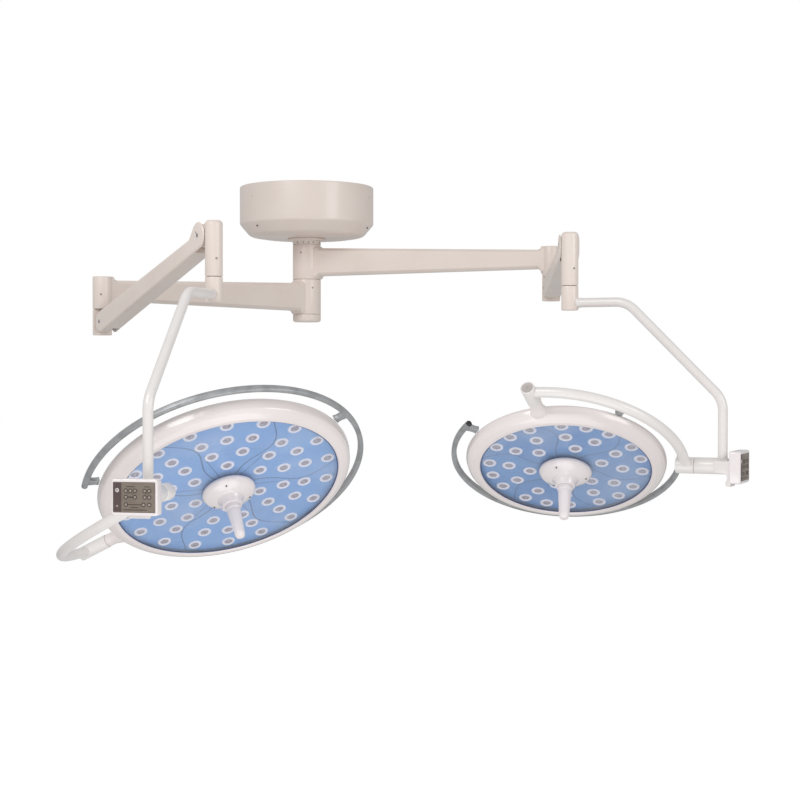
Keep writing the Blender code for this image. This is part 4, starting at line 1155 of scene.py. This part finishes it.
# ---------------------------------------------------------------- control box
@dataclass
class ControlBox(Assembly):
    """The box on the knuckle: case, printed panel, keys and the power button. Z faces outwards."""

    yoke: Yoke
    shift: float = -0.010
    width: float = 0.112
    height: float = 0.084
    thick: float = 0.030
    panel_width: float = 0.102
    panel_height: float = 0.069
    panel_thick: float = 0.003
    strip_width: float = 0.019
    button_side: float = -0.041
    button_up: float = 0.016
    button_radius: float = 0.0048

    def __post_init__(self) -> None:
        """Puts the box's frame on the knuckle's back, with X across the panel and Y up it."""
        yoke = self.yoke
        back = yoke.place.moved(x=yoke.reach + yoke.box_out, y=self.shift, z=-yoke.drop)
        self.place = Place(back.origin, back.y, back.z, back.x)
        self.side, self.body = yoke.side, yoke.body

    def case(self) -> None:
        """The case: a rounded block with a seat for the panel cut into its face."""
        form = Form(self.place)
        outline = oblong(self.width, self.height, 0.007, 6)
        form.add(slab(outline, cushion(0, self.thick, 0.0042, 6)))
        case = form.made(f"{self.side}_control_case", [self.palette.gloss])
        seat = Form(self.place)
        floor = self.thick - self.panel_thick - 0.0008
        seat.add(slab(oblong(self.panel_width + 0.0008, self.panel_height + 0.0008, 0.002, 3),
                      [(0, floor), (0, self.thick + 0.01)]))
        carved(case, [seat.made("seat", [])])
        self.frame.hang(case, self.body, "gloss_white", f"{self.side}_control_box")

    def panel(self) -> None:
        """The panel with its dark strip, key rims, link bars and small marks."""
        top = self.thick - 0.0006
        form = Form(self.place)
        form.add(slab(oblong(self.panel_width, self.panel_height, 0.0018, 3),
                      cushion(top - self.panel_thick, top, 0.0005, 3)))
        strip_x = -self.panel_width / 2 + self.strip_width / 2 + 0.0008
        strip = self.place.moved(x=strip_x)
        form.add(slab(oblong(self.strip_width, self.panel_height - 0.003, 0.001, 3),
                      [(0, top - 0.0002), (0, top + 0.0003)]), Ends.FLAT, 1, strip)
        self.show(f"{self.side}_control_film", self.body, "panel_grey", form,
                  [self.palette.film, self.palette.strip], f"{self.side}_control_panel",
                  face_map=self.panel_width / 2)
        keys = Form(self.place)
        rim = np.array([(0.0049, 0.0), (0.0049, 0.0007), (0.0044, 0.0010), (0.0031, 0.0008),
                        (0.0031, 0.0)])
        disc = np.array([(0, 0.0005), (0.0031, 0.0005), (0.0031, 0.0001), (0, 0.0001)])
        spots = [(-0.020, 0.015), (-0.009, 0.015), (0.002, 0.015), (0.0255, 0.015), (0.0365, 0.015),
                 (-0.020, 0.0005), (0.002, 0.0005), (0.0255, 0.0005), (0.0365, 0.0005),
                 (-0.020, -0.0165), (0.0225, -0.0165), (0.0365, -0.0165)]
        for x, y in spots:
            spot = self.place.moved(x=x, y=y, z=top - 0.0001)
            keys.add(revolved(rim, 18), Ends.LOOP, 1, spot)
            keys.add(revolved(disc, 18), Ends.OPEN, 0, spot)
        bars = [(-0.009, 0.0005, 0.012, 0.0024), (0.00125, -0.0165, 0.033, 0.0014),
                (-0.009, 0.0245, 0.020, 0.0014), (0.031, 0.0245, 0.014, 0.0014),
                (0.0, -0.0228, 0.018, 0.0014), (0.002, -0.0285, 0.056, 0.0016),
                (-0.0145, 0.0085, 0.005, 0.0012), (-0.0035, 0.0085, 0.005, 0.0012),
                (0.031, 0.0085, 0.008, 0.0012)]
        for x, y, wide, high in bars:
            spot = self.place.moved(x=x, y=y, z=top - 0.0001)
            keys.add(slab(oblong(wide, high, high * 0.3, 2), [(0, 0), (0, 0.0004)]), Ends.FLAT, 1,
                     spot)
        lamp = self.place.moved(x=self.button_side, y=-0.020, z=top - 0.0001)
        keys.add(revolved(disc * [0.8, 1.6], 14), Ends.OPEN, 0, lamp)
        self.show(f"{self.side}_control_keys", self.body, "panel_grey", keys,
                  [self.palette.key_face, self.palette.key_mark])

    def power_button(self) -> None:
        """The power button: a domed cap with a ring and bar mark sunk in its face."""
        at = self.place.moved(x=self.button_side, y=self.button_up)
        low = self.thick - 0.0006 - self.panel_thick + 0.0002
        high = self.thick + 0.0006
        r = self.button_radius
        line = softened([(0, low), (r, low), (r, high - 0.0003), (r * 0.55, high), (0, high)],
                        [0.0003, 0.0005, 0.001], 4)
        form = Form(at)
        form.add(revolved(line, 36), Ends.OPEN)
        mark = np.array([(r * 0.5, high - 0.0004), (r * 0.5, high + 0.0001),
                         (r * 0.36, high + 0.0001), (r * 0.36, high - 0.0004)])
        form.add(revolved(mark, 24), Ends.LOOP, 1)
        form.add(slab(oblong(0.0008, 0.003, 0.0002, 2), [(0, high - 0.0004), (0, high + 0.0002)]),
                 Ends.FLAT, 1, at.moved(y=0.0015))
        self.show(f"{self.side}_power_key", f"{self.side}_power_button_body", "button_white",
                  form, [self.palette.key, self.palette.key_mark], f"{self.side}_power_button")

    def build(self) -> None:
        """Makes the box, its panel and its button."""
        self.case()
        self.panel()
        self.power_button()


# ---------------------------------------------------------------- gimbal arc
@dataclass
class GimbalArc(Assembly):
    """The quarter-circle tube from the yoke's axle to the lamp's pivot; X along the axle."""

    side: Side
    axle: float
    pivot: float
    round: float
    boss_end: float
    seam: float = 0.0008
    tube_radius: float = 0.0135
    axle_radius: float = 0.0215
    axle_in: float = 0.027
    axle_out: float = 0.022
    pivot_radius: float = 0.018
    cap_radius: float = 0.0145
    cap_thick: float = 0.003

    def __post_init__(self) -> None:
        """Finds the arc's frame: Y is opposite to the lamp's pivot."""
        along = self.frame.axis(f"{self.side}_arc_tilt")
        pivot = self.frame.axis(f"{self.side}_lamp_tilt")
        pivot = pivot if self.side is Side.RIGHT else -pivot
        up = np.cross(along, pivot)
        self.place = Place.along(self.frame.at(f"{self.side}_arc_tilt"), along, up)
        self.body = f"{self.side}_gimbal_arc_body"

    def build(self) -> None:
        """Makes the tube with its two hubs, and the grey cap in the pivot's end."""
        route = softened([(self.axle, 0.002, 0), (self.axle, -self.pivot, 0),
                          (0.0, -self.pivot, 0)], self.round, 60)
        form = Form(self.place)
        form.add(carried(route, circle(self.tube_radius, 32), (0, 0, 1)))
        form.add(
            revolved(barrel(self.axle_radius, self.axle - self.axle_in, self.axle + self.axle_out,
                            0.0016), 64), Ends.OPEN, 0, self.place.facing("X"),
        )
        groove = softened([(self.axle_radius - 0.001, -0.0014), (self.axle_radius + 0.0006, -0.0010),
                           (self.axle_radius + 0.0006, 0.0010), (self.axle_radius - 0.001, 0.0014)],
                          0.0004, 3)
        form.add(revolved(groove, 64), Ends.LOOP, 0,
                 self.place.moved(x=self.axle + self.axle_out - 0.0042).facing("X"))
        end = self.pivot + self.pivot_radius + 0.004
        r, c = self.pivot_radius, self.cap_radius
        line = softened([(0, self.boss_end + self.seam), (r, self.boss_end + self.seam), (r, end),
                         (c, end), (c, end - self.cap_thick), (0, end - self.cap_thick)],
                        [0.001, 0.0016, 0.0006, 0.0002], 4)
        form.add(revolved(line, 56), Ends.OPEN, 0, self.place.facing("-Y"))
        self.show(f"{self.side}_arc_tube", self.body, "tube_white", form, [self.palette.tube],
                  f"{self.side}_gimbal_arc")
        cap = Form(self.place)
        low, high = end - self.cap_thick, end + 0.0004
        line = softened([(0, low), (c - 0.0003, low), (c - 0.0003, high), (c * 0.72, high - 0.0010),
                         (0, high - 0.0010)], [0.0003, 0.0006, 0.0006], 4)
        cap.add(revolved(line, 48), Ends.OPEN, 0, self.place.facing("-Y"))
        notch = slab(oblong(c * 0.9, 0.0022, 0.0009, 3), [(0, high - 0.0012), (0, high - 0.0005)])
        cap.add(notch, Ends.FLAT, 0, self.place.facing("-Y").turned(35))
        cap.add(notch, Ends.FLAT, 0, self.place.facing("-Y").turned(125))
        self.show(f"{self.side}_pivot_cover", self.body, "panel_grey", cap, [self.palette.cap],
                  f"{self.side}_pivot_cap")


# ---------------------------------------------------------------- lamp head
@dataclass
class LampHead(Assembly):
    """One lamp: rim, lens with its LEDs, housing, handrail and handle. Z points to its back."""

    side: Side
    opening: float
    face_drop: float
    face: LensFace
    rings: tuple[tuple[float, tuple[float, ...]], ...]
    first_sector: float
    rim_width: float = 0.040
    rim_top: float = 0.012
    boss_length: float = 0.037
    boss_radius: float = 0.0165
    lens_recess: float = 0.005
    lens_thick: float = 0.010
    housing_rise: float = 0.046
    rail_gap: float = 0.034
    rail_level: float = 0.011
    rail_width: float = 0.016
    rail_thick: float = 0.013
    rail_end: float = 42.0
    led_radius: float = 0.0188
    hub_radius: float = 0.071
    hub_depth: float = 0.052
    grip_radius: float = 0.0205
    grip_tip: float = 0.0145
    grip_length: float = 0.098

    def __post_init__(self) -> None:
        """Finds the lamp's frame from the tilt joint and the handle's axis."""
        back = self.frame.axis(f"{self.side}_focus_turn")
        y = self.frame.axis(f"{self.side}_lamp_tilt") * (1 if self.side is Side.RIGHT else -1)
        x = np.cross(y, back)
        self.place = Place.along(self.frame.at(f"{self.side}_lamp_tilt"), x, back)
        self.body = f"{self.side}_lamp_head_body"
        self.rim_radius = self.opening + self.rim_width
        self.lens_low = -self.face_drop + self.lens_recess
        self.reflector = self.lens_low + self.lens_thick + 0.0003

    def rim(self) -> None:
        """The rim's ring section turned about the lamp's axis, and the boss of its pivot."""
        face, o, r = -self.face_drop, self.opening, self.rim_radius
        line = softened(
            [(o, face + 0.004), (o + 0.003, face), (o + 0.012, face + 0.0006),
             (o + 0.027, face + 0.007), (r - 0.004, face + 0.017), (r, -0.001), (r, 0.005),
             (r - 0.006, 0.0105), (r - 0.011, self.rim_top), (r - 0.016, self.rim_top),
             (r - 0.016, self.lens_low + 0.004), (o + 0.006, self.lens_low + 0.004),
             (o + 0.006, self.lens_low - 0.0004), (o, self.lens_low - 0.0004)],
            [0.002, 0.004, 0.012, 0.016, 0.012, 0.006, 0.006, 0.004, 0.0005, 0.0005, 0.0005,
             0.0005, 0.0005, 0.0005], 5, closed=True,
        )
        form = Form(self.place)
        form.add(revolved(line, 160), Ends.LOOP)
        end = r + self.boss_length
        b = self.boss_radius
        boss = softened([(0, r - 0.010), (b + 0.008, r - 0.010), (b + 0.006, r + 0.002),
                         (b, r + 0.020), (b, end), (0, end)], [0.001, 0.006, 0.026, 0.0014], 7)
        form.add(revolved(boss, 56) * [1, 0.8, 1], Ends.OPEN, 0,
                 self.place.moved(z=-0.0035).facing("-Y"))
        front = revolved(softened([(0, r + 0.010), (b, r + 0.010), (b, end), (0, end)],
                                  [0.001, 0.0014], 4), 56)
        form.add(front, Ends.OPEN, 0, self.place.facing("-Y"))
        self.show(f"{self.side}_rim_ring", self.body, "gloss_white", form, [self.palette.rim],
                  f"{self.side}_lamp_rim")
        spot = self.place.moved(y=-(r + 0.013), z=-b + 0.0012)
        under = Place(spot.origin, spot.x, -spot.y, -spot.z)
        self.fasten(f"{self.side}_boss_screw", self.body, [under], 0.0030)

    def lens(self) -> None:
        """The clear cover, the blue reflector behind it, and a ring of painted shade round their
        edge.
        """
        low, r = self.lens_low, self.opening + 0.005
        flat = np.array([(0, low), (r - 0.001, low), (r, low + 0.0003), (r, low + 0.0009),
                         (0, low + 0.0009)])
        form = Form(self.place).add(revolved(flat, 120), Ends.OPEN)
        self.show(f"{self.side}_clear_cover", self.body, "blue_lens", form, [self.palette.clear],
                  f"{self.side}_lens_plate")
        back = self.reflector
        rings = np.concatenate([[0.0], np.linspace(0.06, r, 14)])
        under = np.stack([rings, np.full_like(rings, back)], -1)
        form = Form(self.place)
        form.add(revolved(np.concatenate([under, [(r, back + 0.0004), (0, back + 0.0004)]]), 120),
                 Ends.OPEN)
        self.show(f"{self.side}_reflector", self.body, "blue_lens", form, [self.face.material()],
                  face_map=r)
        o = self.opening
        # Painted shade: a dark blue ring under the rim's lip, where the gap at the lens's edge falls
        # dark.
        shade_ring = softened([(o - 0.0014, low - 0.0007), (o - 0.0006, low - 0.0014),
                         (o + 0.0006, low - 0.0014), (o + 0.0006, low), (o - 0.0022, low),
                         (o - 0.0022, low - 0.0005)], 0.0003, 3, closed=True)
        form = Form(self.place).add(revolved(shade_ring, 160), Ends.LOOP)
        self.show(f"{self.side}_painted_shade_ring", self.body, "blue_lens", form, [self.palette.shade_ring])

    def leds(self) -> None:
        """The optics: a white bezel with a domed inner slope, and a ribbed core in the middle.

        Each sits at (R cos a, R sin a), a being its sector's middle plus its own offset.
        """
        spots = [
            (radius, self.first_sector + 60 * sector + offset)
            for sector in range(6) for radius, offsets in self.rings for offset in offsets
        ]
        r, low = self.led_radius, self.reflector
        bezel = np.array([
            (r, 0.0002), (r - 0.0006, -0.0016), (r - 0.0020, -0.0026), (r - 0.0040, -0.0026),
            (r * 0.60, -0.0014), (r * 0.58, 0.0002),
        ])
        core = np.array([(0, -0.0020), (r * 0.16, -0.0019), (r * 0.30, -0.0008),
                         (r * 0.44, -0.0011), (r * 0.59, -0.0004), (r * 0.59, 0.0002), (0, 0.0002)])
        form = Form(self.place)
        for radius, degrees in spots:
            angle = math.radians(-90 - degrees)
            spot = self.place.moved(x=radius * math.cos(angle), y=radius * math.sin(angle), z=low)
            form.add(revolved(bezel, 24), Ends.LOOP, 0, spot)
            form.add(revolved(core, 24), Ends.OPEN, 1, spot)
        self.show(f"{self.side}_led_optics", self.body, "blue_lens", form,
                  [self.palette.led_ring, self.palette.led_core])

    def housing(self) -> None:
        """The back cover: a shallow dome with a pressed step, and screws round its edge."""
        flange, r = self.rim_top + 0.0004, self.rim_radius
        turn = np.radians(np.linspace(2, 90, 26))
        radius = (r - 0.020) * np.cos(turn)
        height = flange + 0.004 + self.housing_rise * np.sin(turn)
        step = 0.0022 / (1 + np.exp((radius - r * 0.58) / 0.002))
        outer = np.stack([radius, height - 0.0022 + step], -1)
        edge = np.array([(r - 0.0125, flange), (r - 0.012, flange + 0.0015),
                         (r - 0.0145, flange + 0.0032), (r - 0.0185, flange + 0.0036)])
        under = np.array([(0, flange + self.housing_rise - 0.002), (r * 0.6, flange + 0.034),
                          (r - 0.026, flange + 0.006), (r - 0.024, flange)])
        line = np.concatenate([edge, outer, under])
        form = Form(self.place).add(revolved(line, 160), Ends.LOOP)
        self.show(f"{self.side}_housing_cover", self.body, "gloss_white", form,
                  [self.palette.housing], f"{self.side}_lamp_housing")
        places = [self.place.turned(angle).moved(x=r - 0.0168, z=flange + 0.0036)
                  for angle in range(15, 375, 30)]
        self.fasten(f"{self.side}_housing_screws", self.body, places, 0.0030)

    def rail(self) -> None:
        """The handrail: a rounded section carried round the lamp, with brackets and end plugs."""
        r = self.rim_radius + self.rail_gap
        start = math.radians(-90 + self.rail_end)
        end = math.radians(270 - self.rail_end)
        turn = np.linspace(start, end, 150)
        path = np.stack([r * np.cos(turn), r * np.sin(turn), np.full_like(turn, self.rail_level)],
                        -1)
        section = oblong(self.rail_thick + 0.0006, self.rail_width + 0.0014, 0.0046, 5)
        form = Form(self.place)
        form.add(carried(path, section, (0, 0, 1)))
        half = self.rail_width / 2
        for angle in (-90 + self.rail_end + 3, 90, -90 - self.rail_end - 3):
            spot = self.place.turned(angle)
            foot_from, foot_to = self.rim_radius + 0.0006, r - 0.003
            mid = (foot_from + foot_to) / 2
            wide = 0.026 if angle == 90 else 0.022
            outline = softened([(foot_from - mid, -wide / 2), (-0.006, -wide * 0.36),
                                (foot_to - mid, -wide / 2), (foot_to - mid, wide / 2),
                                (-0.006, wide * 0.36), (foot_from - mid, wide / 2)],
                               [0.001, 0.02, 0.003, 0.003, 0.02, 0.001], 5, closed=True)
            form.add(slab(outline, cushion(-half + 0.0014, half - 0.0014, 0.002)), Ends.FLAT, 0,
                     spot.moved(x=mid, z=self.rail_level))
        self.show(f"{self.side}_rail_bar", self.body, "rail_grey", form, [self.palette.rail],
                  f"{self.side}_handrail")
        plugs = Form(self.place)
        for angle, way in ((-90 + self.rail_end, "-Y"), (270 - self.rail_end, "Y")):
            spot = self.place.turned(angle).moved(x=r, z=self.rail_level).facing(way)
            plugs.add(revolved(barrel(0.0078, -0.004, 0.0040, 0.0020), 28), Ends.OPEN, 0, spot)
        self.show(f"{self.side}_rail_plugs", self.body, "rail_grey", plugs,
                  [self.palette.rail_cap])

    def handle(self) -> None:
        """The domed hub in the lens, and the grip with its shallow flutes.

        The grip's radius at angle a and height z is its profile's radius less a little of
        the absolute value of sin(4a), which leaves eight soft flats.
        """
        top = self.lens_low - 0.0003
        low, w = top - self.hub_depth, self.hub_radius
        dome = softened(
            [(0, top), (w - 0.003, top), (w, top - 0.004), (w, top - 0.010),
             (w - 0.007, top - 0.018), (w - 0.024, top - 0.026), (w - 0.036, top - 0.030),
             (self.grip_radius + 0.009, top - 0.040), (self.grip_radius + 0.0055, low),
             (0, low)], [0.001, 0.002, 0.008, 0.016, 0.02, 0.006, 0.008, 0.002], 6,
        )
        form = Form(self.place).add(revolved(dome, 112), Ends.OPEN)
        self.show(f"{self.side}_hub_dome", self.body, "gloss_white", form, [self.palette.gloss],
                  f"{self.side}_handle_hub")
        places = []
        for angle in (20, 140, 260):
            spot = self.place.turned(angle).moved(x=w - 0.0145, z=top - 0.0233)
            tilt = unit(spot.x * 0.56 - spot.z * 0.83)
            places.append(Place.along(spot.origin, spot.y, tilt))
        self.fasten(f"{self.side}_hub_screws", self.body, places, 0.0022)
        base = self.place.moved(z=low - 0.0003)
        g, t, length = self.grip_radius, self.grip_tip, self.grip_length
        line = softened(
            [(0, 0), (g, 0), (g, -0.010), (g - 0.0022, -0.0135), (g - 0.0022, -0.020),
             (t, -length + 0.012), (t - 0.004, -length + 0.002), (0, -length)],
            [0.0015, 0.002, 0.002, 0.004, 0.01, 0.004], 6,
        )
        grid = revolved(line, 96)
        angle = np.arctan2(grid[..., 1], grid[..., 0])
        along = np.clip((-grid[..., 2] - 0.020) / 0.012, 0, 1)
        along = along * np.clip((length - 0.006 + grid[..., 2]) / 0.010, 0, 1)
        flute = 1 - 0.075 * along * np.abs(np.sin(4 * angle)) ** 0.8
        grid[..., :2] *= flute[..., None]
        form = Form(base).add(grid, Ends.OPEN)
        self.show(f"{self.side}_grip", f"{self.side}_handle_body", "gloss_white", form,
                  [self.palette.gloss], f"{self.side}_sterile_handle")

    def build(self) -> None:
        """Makes the lamp head and dresses its hidden parts."""
        self.rim()
        self.lens()
        self.leds()
        self.housing()
        self.rail()
        self.handle()
        self.frame.dress(f"{self.side}_led_board", self.palette.board)
        self.frame.dress(f"{self.side}_pivot_pin", self.palette.steel)


# ---------------------------------------------------------------- studio
@dataclass
class Studio:
    """A pale floor, soft lights all round, and the camera."""

    floor_level: float = -2.6
    camera_at: tuple[float, float, float] = (0.3131, -5.2929, -0.6159)
    camera_tilt: float = -0.018
    lens: float = 70.78
    surround: float = 0.52

    def floor(self) -> None:
        """A wide disc under the light."""
        shade = Shade("pale_floor")
        cloud = shade.noise(1.2, 3.0)
        shade.set(Base_Color=shade.mix(cloud * 0.5, (0.97, 0.97, 0.97), (0.95, 0.95, 0.95)),
                  Roughness=cloud * 0.1 + 0.8, Emission_Color=(1.0, 1.0, 1.0),
                  Emission_Strength=0.5)
        place = Place.along((0, 0, self.floor_level), (1, 0, 0), (0, 0, 1))
        form = Form(place)
        form.add(revolved(np.array([(0, 0), (60, 0), (60, -0.05), (0, -0.05)]), 64), Ends.OPEN)
        disc = form.made("floor", [shade.material])
        disc.visible_diffuse = disc.visible_glossy = False

    def lights(self) -> None:
        """An even white surround with large soft area lights."""
        world = bpy.data.worlds.new("studio")
        bpy.context.scene.world = world
        world.use_nodes = True
        tree = world.node_tree
        background = tree.nodes["Background"]
        background.inputs["Color"].default_value = (1.0, 1.0, 1.0, 1.0)
        ray = tree.nodes.new("ShaderNodeLightPath")
        level = tree.nodes.new("ShaderNodeMapRange")
        level.inputs["To Min"].default_value = self.surround
        tree.links.new(ray.outputs["Is Camera Ray"], level.inputs["Value"])
        tree.links.new(level.outputs["Result"], background.inputs["Strength"])
        for name, power, size, at, aim in (
            ("key", 46.0, 1.6, (-1.5, -3.4, 1.5), (0.2, -0.8, -0.6)),
            ("side", 20.0, 1.4, (2.9, -2.8, 0.3), (0.3, -0.8, -0.6)),
            ("under", 15.0, 1.8, (0.3, -2.4, -1.9), (0.3, -0.9, -0.7)),
        ):
            data = bpy.data.lights.new(name, "AREA")
            data.energy, data.size = power, size
            lamp = bpy.data.objects.new(name, data)
            lamp.location = at
            lamp.rotation_euler = (Vector(aim) - Vector(at)).to_track_quat("-Z", "Y").to_euler()
            bpy.context.scene.collection.objects.link(lamp)

    def camera(self) -> None:
        """The camera, level with the lamps and looking along +Y."""
        data = bpy.data.cameras.new("camera")
        data.lens, data.sensor_width = self.lens, 36.0
        data.clip_end = 200.0
        made = bpy.data.objects.new("camera", data)
        made.location = self.camera_at
        made.rotation_euler = (math.pi / 2 + self.camera_tilt, 0, 0)
        bpy.context.scene.collection.objects.link(made)
        bpy.context.scene.camera = made

    def build(self) -> None:
        """Sets up the camera, the floor and the lights."""
        bpy.context.scene.view_settings.view_transform = "Standard"
        self.camera()
        self.floor()
        self.lights()


# ---------------------------------------------------------------- the whole light
@dataclass(frozen=True)
class Head:
    """What differs between the two arms, in metres and degrees."""

    side: Side
    yoke_reach: float
    yoke_level: float
    yoke_drop: float
    arc_axle: float
    arc_pivot: float
    arc_round: float
    opening: float
    face_drop: float
    first_sector: float
    rings: tuple[tuple[float, tuple[float, ...]], ...]
    face: LensFace


JOINT_BLUE = (0.035, 0.055, 0.12)
RIGHT_HEAD = Head(
    side=Side.RIGHT, yoke_reach=0.4165, yoke_level=0.158, yoke_drop=0.4775, arc_axle=0.332,
    arc_pivot=0.352, arc_round=0.290, opening=0.2303, face_drop=0.030, first_sector=30.0,
    rings=((0.100, (0.0,)), (0.153, (-15.0, 15.0)), (0.206, (-18.0, 0.0, 18.0))),
    # The right lamp's reflector: a darker copy of the same blue, painted shade.
    face=LensFace("right_face_shaded_blue", (0.13, 0.30, 0.60), (0.10, 0.235, 0.52), JOINT_BLUE, -90.0),
)
LEFT_HEAD = Head(
    side=Side.LEFT, yoke_reach=0.455, yoke_level=0.190, yoke_drop=0.530, arc_axle=0.450,
    arc_pivot=0.440, arc_round=0.380, opening=0.2975, face_drop=0.038, first_sector=0.0,
    rings=((0.100, (0.0,)), (0.156, (-15.0, 15.0)), (0.213, (-18.0, 0.0, 18.0)),
           (0.274, (-20.0, 0.0, 20.0))),
    # The left lamp's reflector: a paler copy of the same blue, painted light.
    face=LensFace("left_face_lit_blue", (0.22, 0.42, 0.76), (0.17, 0.35, 0.70), JOINT_BLUE, -60.0),
)


def main() -> None:
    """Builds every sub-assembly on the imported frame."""
    logging.basicConfig(level=logging.INFO, format="%(message)s")
    frame = Frame(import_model())
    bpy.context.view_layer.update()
    palette = Palette()
    Studio().build()
    CeilingMount(frame, palette).build()
    for head in (RIGHT_HEAD, LEFT_HEAD):
        ExtensionArm(frame, palette, head.side).build()
        SpringArm(frame, palette, head.side).build()
        yoke = Yoke(frame, palette, head.side, head.yoke_reach, head.yoke_level, head.yoke_drop)
        yoke.build()
        ControlBox(frame, palette, yoke).build()
        lamp = LampHead(frame, palette, head.side, head.opening, head.face_drop, head.face,
                        head.rings, head.first_sector)
        GimbalArc(frame, palette, head.side, head.arc_axle, head.arc_pivot, head.arc_round,
                  lamp.rim_radius + lamp.boss_length).build()
        lamp.build()


if __name__ == "__main__":
    main()
